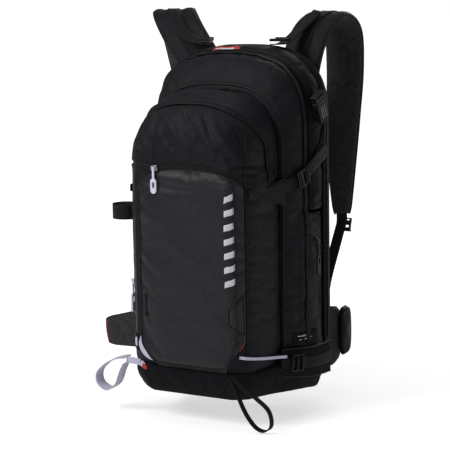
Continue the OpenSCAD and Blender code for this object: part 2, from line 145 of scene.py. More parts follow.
POCKET_CORNER, POCKET_REAR = station_line(*POCKET_STATIONS[1]), station_line(*POCKET_STATIONS[3])
MAIN_FRONT_EDGE = station_line(*MAIN_STATIONS[0])


def smooth(points, n=10):
    """Catmull-Rom curve through the points, as the CAD draws its bands."""
    p = np.asarray(points, float)
    out = []
    for i in range(len(p) - 1):
        a, b, c, d = p[max(i - 1, 0)], p[i], p[i + 1], p[min(i + 2, len(p) - 1)]
        for k in range(n):
            t = k / n
            out.append(0.5 * (2 * b + (c - a) * t + (2 * a - 5 * b + 4 * c - d) * t * t
                              + (3 * b - a - 3 * c + d) * t ** 3))
    out.append(p[-1])
    return np.array(out)


def lengths(p):
    return np.concatenate([[0], np.cumsum(np.linalg.norm(np.diff(p, axis=0), axis=1))])


def sample(at, s, p):
    """Values of p at the lengths in at, where s is the length at each of its rows."""
    return np.stack([np.interp(at, s, p[:, k]) for k in range(3)], 1)


def resample(points, step):
    p = np.asarray(points, float)
    s = lengths(p)
    return sample(np.linspace(0, s[-1], max(2, int(round(s[-1] / step)) + 1)), s, p)


def tangents(p):
    t = np.gradient(p, axis=0)
    return t / np.maximum(np.linalg.norm(t, axis=1), 1e-9)[:, None]


def across_ref(p, ref):
    """Frames along p whose across vector follows ref: (across, out), as the CAD's band()."""
    t = tangents(p)
    ref = np.asarray(ref, float)
    a = ref - (t @ ref)[:, None] * t
    a /= np.linalg.norm(a, axis=1)[:, None]
    return a, np.cross(t, a)


def across_normals(p, normals):
    """Frames along p that lie on a surface with these normals."""
    t = tangents(p)
    a = np.cross(normals, t)
    a /= np.maximum(np.linalg.norm(a, axis=1), 1e-9)[:, None]
    return a, np.cross(t, a)


def facing_out(v, away):
    """The vectors v, each turned to the side that away points to."""
    return v * np.sign((v * away).sum(1))[:, None]


def mirrored(pts):
    return [(-x, y, z) for x, y, z in pts]


def both_sides(pts):
    return pts, mirrored(pts)


# ---------- materials ----------

def link(tree, kind, ins=None, **attrs):
    n = tree.nodes.new(kind)
    for k, v in attrs.items():
        setattr(n, k, v)
    for k, v in (ins or {}).items():
        if isinstance(v, bpy.types.NodeSocket):
            tree.links.new(v, n.inputs[k])
        else:
            n.inputs[k].default_value = v
    return n


def material(name, color, rough, metallic=0.0, sheen=0.0, vary=0.3, weave=0.0, weave_depth=0.0, ribs=0.0,
             grain=0.0, grain_depth=0.0, creases=0.0, edge_lightening=0.0, holes=0.0, spec=0.5):
    """Procedural material. weave, ribs and holes are pitches in mm, and grain is a noise scale per metre."""
    m = bpy.data.materials.new(name)
    m.use_nodes = True
    t = m.node_tree
    b = t.nodes["Principled BSDF"]
    obj = link(t, "ShaderNodeTexCoord").outputs["Object"]
    tint = [c * (1 + vary) + 0.002 for c in color]
    broad = link(t, "ShaderNodeTexNoise", {"Vector": obj, "Scale": 11.0, "Detail": 5.0, "Roughness": 0.6})
    fine = link(t, "ShaderNodeTexNoise", {"Vector": obj, "Scale": 260.0, "Detail": 3.0})
    blend = link(t, "ShaderNodeMath", {0: broad.outputs["Fac"], 1: fine.outputs["Fac"]}, operation="ADD")
    ramp = link(t, "ShaderNodeMapRange", {"Value": blend.outputs[0], "From Min": 0.7, "From Max": 1.3})
    colour = link(t, "ShaderNodeMix", {"Factor": ramp.outputs[0], 6: (*color, 1), 7: (*tint, 1)},
                  data_type="RGBA").outputs[2]
    height = None

    def stack(value, amount):
        """Adds a relief to the height of the bump."""
        nonlocal height
        scaled = link(t, "ShaderNodeMath", {0: value, 1: amount}, operation="MULTIPLY").outputs[0]
        height = scaled if height is None else \
            link(t, "ShaderNodeMath", {0: height, 1: scaled}, operation="ADD").outputs[0]

    def shade(value, low, high, dark, light):
        """Multiplies the colour by value, mapped from low..high to dark..light."""
        nonlocal colour
        gain = link(t, "ShaderNodeMapRange", {"Value": value, "From Min": low, "From Max": high,
                                              "To Min": dark, "To Max": light})
        colour = link(t, "ShaderNodeVectorMath", {0: colour, "Scale": gain.outputs[0]}, operation="SCALE").outputs[0]

    if weave:
        turns = 2 * math.pi / (weave * MM)
        scaled = link(t, "ShaderNodeVectorMath", {0: obj, "Scale": turns}, operation="SCALE").outputs[0]
        waves = link(t, "ShaderNodeVectorMath", {0: scaled}, operation="SINE").outputs[0]
        total = link(t, "ShaderNodeVectorMath", {0: waves, 1: (1, 1, 1)}, operation="DOT_PRODUCT").outputs["Value"]
        stack(total, weave_depth / 3)
        shade(total, -2.0, 2.0, 0.72, 1.25)
    if ribs:
        turns = 2 * math.pi / (ribs * MM)
        sep = link(t, "ShaderNodeSeparateXYZ", {0: link(t, "ShaderNodeTexCoord").outputs["UV"]})
        zigzag = link(t, "ShaderNodeMath", {0: sep.outputs[1], 1: ribs * 2.2 * MM}, operation="PINGPONG")
        run = link(t, "ShaderNodeMath", {0: sep.outputs[0], 1: zigzag.outputs[0]}, operation="ADD")
        angle = link(t, "ShaderNodeMath", {0: run.outputs[0], 1: turns}, operation="MULTIPLY")
        sine = link(t, "ShaderNodeMath", {0: angle.outputs[0]}, operation="SINE").outputs[0]
        stack(sine, 0.12)
        shade(sine, -1.0, 1.0, 0.7, 1.2)
    if grain:
        g = link(t, "ShaderNodeTexNoise", {"Vector": obj, "Scale": grain, "Detail": 4.0, "Roughness": 0.65})
        stack(g.outputs["Fac"], grain_depth)
    if creases:
        warp = link(t, "ShaderNodeTexNoise", {"Vector": obj, "Scale": 42.0, "Detail": 3.0, "Distortion": 1.4})
        stack(warp.outputs["Fac"], creases)
    if holes:
        v = link(t, "ShaderNodeTexVoronoi", {"Vector": obj, "Scale": 1 / (holes * MM), "Randomness": 0.12})
        cup = link(t, "ShaderNodeMapRange", {"Value": v.outputs["Distance"], "From Min": 0.16, "From Max": 0.42})
        stack(cup.outputs[0], 0.5)
        # The colour is darkened to 0.16 in the holes as painted shade inside them.
        shade(cup.outputs[0], 0.0, 1.0, 0.16, 1.0)
    # Lighter colour along convex edges, found by pointiness.
    if edge_lightening:
        edge = link(t, "ShaderNodeNewGeometry").outputs["Pointiness"]
        e = link(t, "ShaderNodeMapRange", {"Value": edge, "From Min": 0.515, "From Max": 0.58, "To Max": edge_lightening})
        light = [min(1, c * 2.2 + 0.005) for c in color]
        colour = link(t, "ShaderNodeMix", {"Factor": e.outputs[0], 6: colour, 7: (*light, 1)},
                      data_type="RGBA").outputs[2]
    t.links.new(colour, b.inputs["Base Color"])
    r = link(t, "ShaderNodeMapRange", {"Value": broad.outputs["Fac"], "From Min": 0.3, "From Max": 0.7,
                                       "To Min": max(0.05, rough - 0.07), "To Max": min(1, rough + 0.07)})
    t.links.new(r.outputs[0], b.inputs["Roughness"])
    if height is not None:
        bump = link(t, "ShaderNodeBump", {"Height": height, "Strength": 1.0, "Distance": MM})
        t.links.new(bump.outputs[0], b.inputs["Normal"])
    for k, v in (("Metallic", metallic), ("Sheen Weight", sheen), ("Sheen Roughness", 0.45),
                 ("Specular IOR Level", spec)):
        b.inputs[k].default_value = v
    return m


# Each look is (material, slot in the record, colour, roughness, the rest).
LOOKS = {
    "shell": ("shell_fabric", "shell_fabric", (0.0043, 0.0041, 0.0068), 0.52,
              dict(spec=0.17, sheen=0.012, weave=0.9, weave_depth=0.1, creases=0.9, grain=700, grain_depth=0.12,
                   edge_lightening=0.25)),
    "ripstop": ("sleeve_fabric", "shell_fabric", (0.0038, 0.0037, 0.006), 0.5,
                dict(spec=0.12, sheen=0.01, weave=0.7, weave_depth=0.07, creases=0.6, edge_lightening=0.2)),
    "dark": ("dark_fabric", "dark_fabric", (0.0032, 0.0031, 0.0048), 0.7,
             dict(spec=0.12, sheen=0.01, weave=1.3, weave_depth=0.16, grain=500, grain_depth=0.15, edge_lightening=0.2)),
    "coated": ("coated_fabric", "coated_fabric", (0.0085, 0.0082, 0.0116), 0.43,
               dict(spec=0.32, weave=0.6, weave_depth=0.025, grain=420, grain_depth=0.06, creases=0.8, edge_lightening=0.35)),
    "mesh": ("spacer_mesh", "spacer_mesh", (0.029, 0.0275, 0.0305), 0.85,
             dict(spec=0.25, sheen=0.04, holes=2.6, grain=900, grain_depth=0.15, vary=0.4)),
    "webbing": ("webbing", "webbing", (0.0045, 0.0044, 0.0062), 0.55,
                dict(spec=0.18, sheen=0.02, ribs=1.5, grain=1200, grain_depth=0.12, edge_lightening=0.3)),
    "white_webbing": ("white_webbing", "white_webbing", (0.62, 0.62, 0.78), 0.6,
                      dict(sheen=0.2, ribs=1.5, grain=900, grain_depth=0.15, vary=0.12)),
    "coil": ("zip_coil", "zip_coil", (0.0085, 0.0085, 0.0095), 0.36,
             dict(spec=0.35, grain=900, grain_depth=0.1, edge_lightening=0.3)),
    "tape": ("zip_tape", "zip_coil", (0.007, 0.007, 0.0082), 0.6,
             dict(spec=0.18, sheen=0.02, ribs=1.1, grain=1100, grain_depth=0.12)),
    "buckle": ("buckle_plastic", "buckle_plastic", (0.0034, 0.0034, 0.004), 0.32,
               dict(spec=0.22, grain=1500, grain_depth=0.08, edge_lightening=0.3)),
    # Light grey base colour: painted highlight streaks along the accessory buckle's rails.
    "gloss": ("highlight_streak_plastic", "buckle_plastic", (0.05, 0.05, 0.065), 0.15,
              dict(spec=0.9, grain=900, grain_depth=0.04, edge_lightening=0.2)),
    "frame": ("frame_plastic", "frame_plastic", (0.02, 0.02, 0.021), 0.5,
              dict(grain=800, grain_depth=0.12, edge_lightening=0.3)),
    "aluminium": ("aluminium", "aluminium", (0.62, 0.63, 0.65), 0.34,
                  dict(metallic=1, grain=300, grain_depth=0.03, vary=0.1)),
    "steel": ("steel", "steel", (0.2, 0.21, 0.23), 0.36, dict(metallic=1, grain=500, grain_depth=0.05)),
    "rubber": ("hose_rubber", "hose_rubber", (0.008, 0.008, 0.008), 0.6,
               dict(grain=900, grain_depth=0.12, edge_lightening=0.2)),
    "airbag": ("airbag_fabric", "airbag_fabric", (0.62, 0.13, 0.02), 0.5,
               dict(weave=0.8, weave_depth=0.1, creases=0.9)),
    "red": ("trigger_red", "trigger_red", (0.5, 0.012, 0.01), 0.36,
            dict(grain=800, grain_depth=0.08, edge_lightening=0.3, vary=0.15)),
    "slider": ("zip_slider_metal", "zip_slider_metal", (0.44, 0.45, 0.48), 0.26,
               dict(metallic=1, grain=500, grain_depth=0.03, vary=0.2, edge_lightening=0.4)),
    "gunmetal": ("dark_slider_metal", "zip_slider_metal", (0.07, 0.07, 0.076), 0.32,
                 dict(metallic=1, grain=500, grain_depth=0.03, vary=0.2, edge_lightening=0.4)),
    "pull": ("light_pull", "light_pull", (0.7, 0.71, 0.84), 0.42, dict(grain=700, grain_depth=0.07, vary=0.08)),
    "dark_pull": ("dark_pull", "dark_pull", (0.006, 0.006, 0.0075), 0.45,
                  dict(spec=0.3, grain=800, grain_depth=0.1, edge_lightening=0.4)),
    "thread": ("thread", "webbing", (0.011, 0.011, 0.0128), 0.55, dict(spec=0.25, grain=1800, grain_depth=0.08)),
    "print": ("reflective_print", "white_webbing", (0.62, 0.62, 0.66), 0.4,
              dict(grain=500, grain_depth=0.04, vary=0.08)),
    "piping": ("piping", "dark_fabric", (0.0052, 0.0051, 0.0072), 0.45,
               dict(spec=0.2, weave=0.7, weave_depth=0.06, edge_lightening=0.35)),
    "red_trim": ("red_trim", "trigger_red", (0.42, 0.02, 0.018), 0.6, dict(ribs=1.2, grain=900, grain_depth=0.1)),
}
MAT = {key: material(name, colour, rough, **more) for key, (name, _, colour, rough, more) in LOOKS.items()}


# ---------- meshes ----------

def add_object(name, data):
    obj = bpy.data.objects.new(name, data)
    scene.collection.objects.link(obj)
    return obj


def from_bmesh(name, bm):
    me = bpy.data.meshes.new(name)
    bm.to_mesh(me)
    bm.free()
    return add_object(name, me)


def new_object(name, verts, faces, uv=None):
    me = bpy.data.meshes.new(name)
    me.from_pydata((np.asarray(verts, float) * MM).tolist(), [], faces)
    if uv is not None:
        layer = me.uv_layers.new(name="UVMap")
        layer.data.foreach_set("uv", np.array([c for f in uv for c in f], np.float32).ravel() * MM)
    me.shade_smooth()
    return add_object(name, me)


def wear_mats(obj, mats):
    obj.data.materials.clear()
    for m in mats:
        obj.data.materials.append(MAT[m])


def finish_piece(obj, body, mat, replaces=()):
    """Gives a piece its material if it has none and its body, and hides the CAD nodes that it stands for."""
    if not obj.data.materials:
        wear_mats(obj, [mat])
    if body:
        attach(obj, body)
    if replaces:
        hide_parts(*replaces)
    return obj


def vectors(obj, kind):
    """The "co" or "normal" of every vertex."""
    values = np.zeros(len(obj.data.vertices) * 3, np.float32)
    obj.data.vertices.foreach_get(kind, values)
    return values.reshape(-1, 3).astype(float)


def coords(obj):
    return vectors(obj, "co") / MM


def normals(obj):
    return vectors(obj, "normal")


def put_coords(obj, co):
    obj.data.vertices.foreach_set("co", (co * MM).astype(np.float32).ravel())
    obj.data.update()


def bake(obj):
    """Applies every modifier."""
    dg = bpy.context.evaluated_depsgraph_get()
    dg.update()
    me = bpy.data.meshes.new_from_object(obj.evaluated_get(dg), preserve_all_data_layers=True, depsgraph=dg)
    obj.modifiers.clear()
    obj.data = me
    me.shade_smooth()
    return obj


def modify(obj, kind, **attrs):
    m = obj.modifiers.new(kind.lower(), kind)
    for k, v in attrs.items():
        setattr(m, k, v)
    return m


def hull(name, points):
    bm = bmesh.new()
    for p in points:
        bm.verts.new(Vector(p) * MM)
    out = bmesh.ops.convex_hull(bm, input=bm.verts)
    loose = {e for k in ("geom_interior", "geom_unused") for e in out[k] if isinstance(e, bmesh.types.BMVert)}
    bmesh.ops.delete(bm, geom=list(loose), context="VERTS")
    return from_bmesh(name, bm)


def layer_hull(name, stations):
    """Form through the outlines of a layer of the bag."""
    return hull(name, [q for station in stations for q in station_line(*station)])


def merge(obj, *others):
    bm = bmesh.new()
    for o in (obj, *others):
        bm.from_mesh(o.data)
    bm.to_mesh(obj.data)
    bm.free()
    for o in others:
        bpy.data.objects.remove(o)
    return obj


def tube(name, rings):
    """Closed tube through rings of points."""
    rows, k = rings.shape[:2]
    faces = [[i * k + c, i * k + (c + 1) % k, (i + 1) * k + (c + 1) % k, (i + 1) * k + c]
             for i in range(rows - 1) for c in range(k)]
    faces += [list(range(k))[::-1], [(rows - 1) * k + c for c in range(k)]]
    obj = new_object(name, rings.reshape(-1, 3), faces)
    bm = bmesh.new()
    bm.from_mesh(obj.data)
    bmesh.ops.recalc_face_normals(bm, faces=bm.faces)
    bm.to_mesh(obj.data)
    bm.free()
    return obj


def grid_faces(nu, nv):
    """Quads of a grid whose point (i, j) is number i * (nv + 1) + j."""
    k = nv + 1
    return [[i * k + j, (i + 1) * k + j, (i + 1) * k + j + 1, i * k + j + 1] for i in range(nu) for j in range(nv)]


def voxel(obj, size, relax=4):
    modify(obj, "REMESH", mode="VOXEL", voxel_size=size * MM, use_smooth_shade=True)
    modify(obj, "SMOOTH", factor=0.5, iterations=relax)
    return bake(obj)


def subdivide(obj):
    modify(obj, "SUBSURF", levels=1, render_levels=1)
    return bake(obj)


def point_tree(points):
    tree = kdtree.KDTree(len(points))
    for i, p in enumerate(points):
        tree.insert(p, i)
    tree.balance()
    return tree


class Lines:
    """Seam lines of a piece, for distances to them."""

    def __init__(self, *paths):
        self.tree = point_tree(np.concatenate([resample(p, 1.5) for p in paths]))

    def distance(self, co):
        return np.array([self.tree.find(p)[2] for p in co])


def fade(d, near, far):
    """1 below near, 0 above far."""
    t = np.clip((d - near) / (far - near), 0, 1)
    return 1 - t * t * (3 - 2 * t)


def most(*shares):
    return np.maximum.reduce([1.0 * s for s in shares])


def inflate(obj, hold, pressure=4.0, cap=7.0, grow=0.015, frames=20, bend=0.4):
    """Cloth simulation of a sewn form: hold is each point's share of being sewn down."""
    rest = coords(obj)
    group = obj.vertex_groups.new(name="hold")
    for level in range(1, 11):
        ids = np.nonzero((hold * 10).round() == level)[0]
        if len(ids):
            group.add(ids.tolist(), level / 10, "REPLACE")
    cloth = modify(obj, "CLOTH")
    s = cloth.settings
    s.quality = 5
    s.mass = 0.2
    s.tension_stiffness = 18
    s.compression_stiffness = 8
    s.shear_stiffness = 6
    s.bending_stiffness = bend
    s.use_pressure = True
    s.uniform_pressure_force = pressure
    s.vertex_group_mass = "hold"
    s.shrink_min = -grow
    s.effector_weights.gravity = 0
    cloth.collision_settings.use_collision = False
    cloth.point_cache.frame_start = 1
    cloth.point_cache.frame_end = frames
    for f in range(1, frames + 1):
        scene.frame_set(f)
    bake(obj)
    obj.vertex_groups.clear()
    scene.frame_set(1)
    move = coords(obj) - rest
    size = np.maximum(np.linalg.norm(move, axis=1), 1e-9)
    put_coords(obj, rest + move * (cap * np.tanh(size / cap) / size)[:, None])
    return obj


def crease(obj, lines, depth, width):
    """Pulls the surface in along sewn lines."""
    co, n = coords(obj), normals(obj)
    put_coords(obj, co - n * (depth * np.exp(-(lines.distance(co) / width) ** 2))[:, None])


def ruffle(obj, height, stretch, where, seed, sharp=1.0):
    """Soft folds along the normals: noise with one fold per stretch mm on each axis, or per row of a matrix."""
    co, n = coords(obj), normals(obj)
    mask = where(co)
    m = np.asarray(stretch, float)
    q = co / m if m.ndim == 1 else co @ m.T
    amount = np.zeros(len(co))
    for i in np.nonzero(mask > 0.01)[0]:
        v = noise.noise(Vector(q[i]) + Vector((seed, seed * 0.7, -seed))) \
            + 0.4 * noise.noise(Vector(q[i] * 2.3) + Vector((0, seed, 3)))
        amount[i] = math.copysign(abs(v) ** sharp, v)
    put_coords(obj, co + n * (amount * mask * height)[:, None])


def folds(obj, paths, height, width):
    """Folds with a valley on each side that fade to both ends. A negative height makes valleys."""
    runs = [resample(smooth(path, 6), 1.5) for path in paths]
    amount = np.concatenate([np.sin(math.pi * np.linspace(0.04, 0.96, len(p))) ** 0.7 for p in runs])
    tree = point_tree(np.concatenate(runs))
    co, n = coords(obj), normals(obj)
    shift = np.zeros(len(co))
    for i, c in enumerate(co):
        _, k, d = tree.find(c)
        if d < 3.2 * width:
            r = (d / width) ** 2
            shift[i] = amount[k] * (1 - 0.8 * r) * math.exp(-r)
    put_coords(obj, co + n * (height * shift)[:, None])


class Skin:
    """Finished surface that trims are laid on."""

    def __init__(self, *objs):
        verts, faces = [], []
        for o in objs:
            base = len(verts)
            verts += [Vector(c) for c in coords(o)]
            faces += [[base + v for v in p.vertices] for p in o.data.polygons]
        self.tree = BVHTree.FromPolygons(verts, faces)

    def near(self, point):
        """Nearest place of the surface and its normal."""
        hit, n, _, _ = self.tree.find_nearest(Vector(point))
        return np.array(hit), np.array(n)

    def lay(self, pts, step=3.0, lift=0.0, outward=None):
        """Points and normals of a path laid on the nearest place of the surface."""
        out, nor = (np.array(q) for q in zip(*[self.near(q) for q in resample(pts, step)]))
        if outward is not None:
            nor[nor @ np.array(outward, float) < 0] *= -1
        for _ in range(2):
            nor[1:-1] = (nor[:-2] + nor[1:-1] + nor[2:]) / 3
            out[1:-1] = (out[:-2] + 2 * out[1:-1] + out[2:]) / 4
        nor /= np.linalg.norm(nor, axis=1)[:, None]
        return out + nor * lift, nor


# ---------- small parts, gathered in one mesh for each body, material and kind ----------

BINS = {}


def put(body, mat, kind, verts, faces, uv=None):
    """Adds a small part to the shared mesh of its body, material and kind."""
    b = BINS.setdefault((body, mat, kind), {"v": [], "f": [], "uv": [], "n": 0})
    b["v"].append(np.asarray(verts, float))
    b["f"] += [[i + b["n"] for i in f] for f in faces]
    b["uv"] += uv if uv is not None else [[(0.0, 0.0)] * len(f) for f in faces]
    b["n"] += len(verts)


def named(kind, body, mat, replaces=(), name=None):
    """Makes the object of one bin, under the bin's own kind or another name."""
    b = BINS.pop((body, mat, kind))
    obj = new_object(name or kind, np.vstack(b["v"]), b["f"], b["uv"])
    return finish_piece(obj, body, mat, replaces)


def pour():
    """Makes one object for every bin that is left."""
    for body, mat, kind in list(BINS):
        named(kind, body, mat, name=f"{kind}_{mat}_{body}")


def sweep(path, a, v, sections, ring=False):
    """Skin through one closed section (across, out) at each point of a path."""
    sections = np.asarray(sections, float)
    a, v = (np.broadcast_to(q, path.shape) for q in (a, v))
    if sections.ndim == 2:
        sections = np.broadcast_to(sections, (len(path),) + sections.shape)
    rows, k = sections.shape[:2]
    verts = (path[:, None] + a[:, None] * sections[..., :1] + v[:, None] * sections[..., 1:]).reshape(-1, 3)
    s = lengths(path)
    first = sections[0]
    girth = lengths(np.vstack([first, first[:1]]))
    faces, uv = [], []
    for i in range(rows if ring else rows - 1):
        j = (i + 1) % rows
        s1 = s[i + 1] if i + 1 < rows else s[-1] + 1
        for c in range(k):
            d = (c + 1) % k
            faces.append([i * k + c, i * k + d, j * k + d, j * k + c])
            uv.append([(s[i], girth[c]), (s[i], girth[c + 1]), (s1, girth[c + 1]), (s1, girth[c])])
    if not ring:
        faces += [list(range(k))[::-1], [(rows - 1) * k + c for c in range(k)]]
        uv += [[(0.0, 0.0)] * k] * 2
    if np.sum(first[:, 0] * np.roll(first[:, 1], -1) - np.roll(first[:, 0], -1) * first[:, 1]) < 0:
        faces, uv = [f[::-1] for f in faces], [f[::-1] for f in uv]
    return verts, faces, uv


STRAP_EDGE = np.array([(-0.5, 0), (-0.488, 0.42), (-0.25, 0.5), (0, 0.5), (0.25, 0.5), (0.488, 0.42),
                       (0.5, 0), (0.488, -0.42), (0.25, -0.5), (0, -0.5), (-0.25, -0.5), (-0.488, -0.42)])


def cord(body, mat, kind, path, r, sides=8):
    t = tangents(path)
    a = np.cross(t, np.array([0.31, 0.22, 0.92]))
    a /= np.maximum(np.linalg.norm(a, axis=1), 1e-6)[:, None]
    turn = 2 * math.pi * np.arange(sides) / sides
    put(body, mat, kind, *sweep(path, a, np.cross(t, a), r * np.column_stack([np.cos(turn), np.sin(turn)])))


def tape(body, mat, kind, path, nor, w, t=1.0):
    """Flat tape laid on a surface."""
    put(body, mat, kind, *sweep(path, *across_normals(path, nor), STRAP_EDGE * (w, t)))


def ribbon(body, mat, kind, path, ref, w, t, w_end=None):
    """Flat band whose width follows ref and may change to w_end."""
    wide = np.linspace(w, w_end or w, len(path))
    size = np.column_stack([wide, np.full(len(path), t)])
    put(body, mat, kind, *sweep(path, *across_ref(path, ref), STRAP_EDGE * size[:, None]))


def beads(body, mat, kind, line, a, v, pitch, shape, faces):
    """Copies an eight-cornered shape (along, across, out) to evenly spaced places on a line."""
    s = lengths(line)
    n = int(s[-1] // pitch)
    if n < 1:
        return
    at = (np.arange(n) + 0.5) * pitch
    p, t, side, up = (sample(at, s, q)[:, None] for q in (line, tangents(line), a, v))
    x, y, z = (shape(n)[..., k, None] for k in range(3))
    verts = (p + t * x + side * y + up * z).reshape(-1, 3)
    put(body, mat, kind, verts, [[i * 8 + c for c in f] for i in range(n) for f in faces])


STITCH = np.array([(-0.5, 0, 0), (-0.2, 1, 0), (-0.2, 0, 1), (-0.2, -1, 0),
                   (0.2, 1, 0), (0.2, 0, 1), (0.2, -1, 0), (0.5, 0, 0)])
STITCH_FACES = [[0, 2, 1], [0, 3, 2], [1, 2, 5, 4], [2, 3, 6, 5], [4, 5, 7], [5, 6, 7], [0, 1, 4, 7], [0, 7, 6, 3]]
STITCH_PITCH, STITCH_SIZE = 4.0, (3.0, 0.45, 0.585)


def stitches(body, path, nor, shift=0.0):
    """Row of raised stitches along a path on a surface, shifted sideways."""
    a, v = across_normals(path, nor)
    beads(body, "thread", "stitching", path + a * shift + nor * 0.1, a, v, STITCH_PITCH,
          lambda n: STITCH * STITCH_SIZE, STITCH_FACES)


def bartack(body, centre, along, nor, long=12.0, wide=2.6):
    """Dense zigzag bar that holds webbing or a seam end."""
    along, nor = unit(along), unit(nor)
    side = np.cross(nor, along)
    n = max(4, int(long / 0.9))
    pts = [np.asarray(centre) + along * (i / n - 0.5) * long + side * (wide / 2 if i % 2 else -wide / 2) + nor * 0.5
           for i in range(n + 1)]
    cord(body, "thread", "bartacks", np.array(pts), 0.5, sides=5)


TOOTH = np.array([(x, y, z) for x in (-0.5, 0.5) for y in (-0.5, 0.5) for z in (0, 1)], float)
TOOTH_FACES = [[0, 1, 3, 2], [4, 6, 7, 5], [0, 4, 5, 1], [2, 3, 7, 6], [1, 5, 7, 3], [0, 2, 6, 4]]
TOOTH_TAPER, TOOTH_SHARE, TOOTH_TURN = 0.7, 0.62, 0.6


def teeth(body, kind, path, nor, coil, pitch, height):
    """Coil of interlocking teeth along a path."""
    def shape(n):
        narrow = np.where(TOOTH[:, 2] > 0, TOOTH_TAPER, 1.0)
        one = np.column_stack([TOOTH[:, 0] * pitch * TOOTH_SHARE * narrow, TOOTH[:, 1] * coil * narrow,
                               0.5 + TOOTH[:, 2] * height])
        turn = np.where(np.arange(n) % 2, TOOTH_TURN, -TOOTH_TURN)
        return one + turn[:, None, None] * (0, 1, 0)

    beads(body, "coil", kind + "_coil", path, *across_normals(path, nor), pitch, shape, TOOTH_FACES)


def zip_line(path, nor, w=14.0, coil=4.6, pitch=1.8, lips=True, rise=1.3):
    """Zip on the pack: woven tape and a coil of teeth, between two cloth lips with their stitch rows."""
    tape("pack", "tape", "zips_tape", path + nor * 0.2, nor, w, 0.7)
    teeth("pack", "zips", path, nor, coil, pitch, 0.6 if lips else 1.1)
    if not lips:
        return
    lip = (w - 1.5) / 2
    a, v = across_normals(path, nor)
    x, y = STRAP_EDGE.T
    section = np.column_stack([x * lip, y * 1.5 + 0.5 * (y > 0) * (1 - abs(2 * x)) * rise])
    for s in (-1, 1):
        put("pack", "shell", "zips_lips", *sweep(path + a * (s * (lip / 2 + 0.75)) + nor * 0.75, a, v, section))
        stitches("pack", path + nor * 1.7, nor, s * (w / 2 - 1.8))


def patch(mat, kind, skin, corners, nu=8, nv=8, lift=0.5):
    """Thin four-cornered patch sewn on the pack, near the four corner points."""
    c = np.asarray(corners, float)
    top, low = [], []
    for i in range(nu + 1):
        for j in range(nv + 1):
            u, w = i / nu, j / nv
            hit, n = skin.near(c[0] * (1 - u) * (1 - w) + c[1] * u * (1 - w) + c[2] * u * w + c[3] * (1 - u) * w)
            edge = 0.55 if i in (0, nu) or j in (0, nv) else 1.0
            top.append(hit + n * lift * edge)
            low.append(hit - n * 0.2)
    k, base = nv + 1, len(top)
    faces = grid_faces(nu, nv)
    faces += [[base + q for q in quad[::-1]] for quad in faces]
    rim = [i * k for i in range(nu)] + [nu * k + j for j in range(nv)] \
        + [i * k + nv for i in range(nu, 0, -1)] + list(range(nv, 0, -1))
    faces += [[r, q, base + q, base + r] for q, r in zip(rim, rim[1:] + rim[:1])]
    put("pack", mat, kind, np.array(top + low), faces)


# ---------- front pocket and its flap ----------

def zip_y(z):
    """Where the arched zip runs: straight up the sides, then forward over the top of the flap."""
    t = np.clip((np.asarray(z, float) - VEER_Z) / VEER_RISE, 0, 1)
    return ZIP_Y + ZIP_LEAD - ZIP_VEER * t * t * (3 - 2 * t)


def zip_ring(shift=0.0):
    """Line of the arched zip on the pocket, from right to left, moved by shift along y."""
    pts = []
    ys, widths, _, tops = zip(*POCKET_STATIONS)
    for a in np.radians(np.arange(0, 181, 2)):
        y = ZIP_Y
        for _ in range(14):
            w, top = np.interp(y, ys, widths), np.interp(y, ys, tops)
            x, z = w / 2 * spow(math.cos(a), SQUARENESS), top - TOP_RISE * (1 - spow(math.sin(a), SQUARENESS))
            y = (y + zip_y(z) + shift) / 2
        pts.append((x, y, z))
    return np.array(pts)


FLAP_RIDGES = [[(-31, -113, 466), (-10, -122, 445), (5, -124, 427), (26, -124, 410)],
               [(22, -108, 474), (42, -120, 450), (52, -123, 430), (74, -122, 410)],
               [(50, -107, 471), (64, -115, 449), (85, -117, 423), (108, -106, 396)]]
FLAP_VALLEYS = [[(-37, -124, 443), (-16, -124, 422), (14, -124, 407)],
                [(-2, -108, 476), (22, -121, 452), (33, -124, 435), (60, -124, 409)],
                [(38, -108, 474), (52, -119, 448), (68, -121, 424), (94, -117, 402)],
                [(94, -104, 445), (102, -101, 430), (107, -98, 418)]]
GATHERS = [[(94, -119, 388), (110, -104, 390), (114, -77, 389)],
           [(104, -111, 377), (112, -94, 376), (115, -71, 374)],
           [(108, -105, 366), (112, -92, 364), (116, -62, 362)],
           [(108, -105, 354), (113, -90, 352), (117, -60, 350)]]


def build_pocket():
    body = voxel(layer_hull("front_pocket_shell", POCKET_STATIONS), 4.4, 5)
    corner = POCKET_CORNER[(POCKET_CORNER[:, 2] < 440) & (POCKET_CORNER[:, 0] > 0)]
    flap_seam = [(-48, FRONT_Y, 380), (-49, FRONT_Y, 430), (-51, -112, 462), (-53, -96, 480)]
    lines = Lines(corner, corner * (-1, 1, 1), zip_ring(-ZIP_LEAD), POCKET_REAR, flap_seam)
    co = coords(body)
    x, y, z = co.T
    hold = most(fade(lines.distance(co), 3, 7),
                fade(np.abs(z - FLAP_Z), 3, 7) * (y < ZIP_Y + 4),
                fade(np.abs(y - zip_y(z) + ZIP_LEAD), 3, 7) * (z > FLAP_Z - 4),
                fade(z, 44, 54), y > -16, (y < -100) & (z < FLAP_Z - 6))
    inflate(body, hold, pressure=5, cap=7, grow=0.022)
    subdivide(body)
    crease(body, lines, 1.6, 3.2)

    def upper(c):
        return fade(-c[:, 2], -440, -385) * fade(c[:, 1], -22, -12)

    def side(c):
        return fade(-np.abs(c[:, 0]), -112, -100) * fade(c[:, 2], 380, 392) * fade(-c[:, 2], -90, -50)

    def behind_stash(c):
        return fade(c[:, 1], -108, -92) * fade(c[:, 2], 372, 384)

    ruffle(body, 2.4, [[1 / 62, 0, 1 / 46], [0, 1 / 40, 0], [1 / 260, 0, -1 / 240]], upper, 4.2, sharp=1.2)
    folds(body, FLAP_RIDGES, 3.4, 9)
    folds(body, FLAP_VALLEYS, -3.0, 6)
    folds(body, GATHERS + [mirrored(q) for q in GATHERS], -3.4, 3.6)
    ruffle(body, 2.0, (40, 46, 120), side, 9.1)
    co = coords(body)
    put_coords(body, co - normals(body) * (1.4 * behind_stash(co))[:, None])
    return body


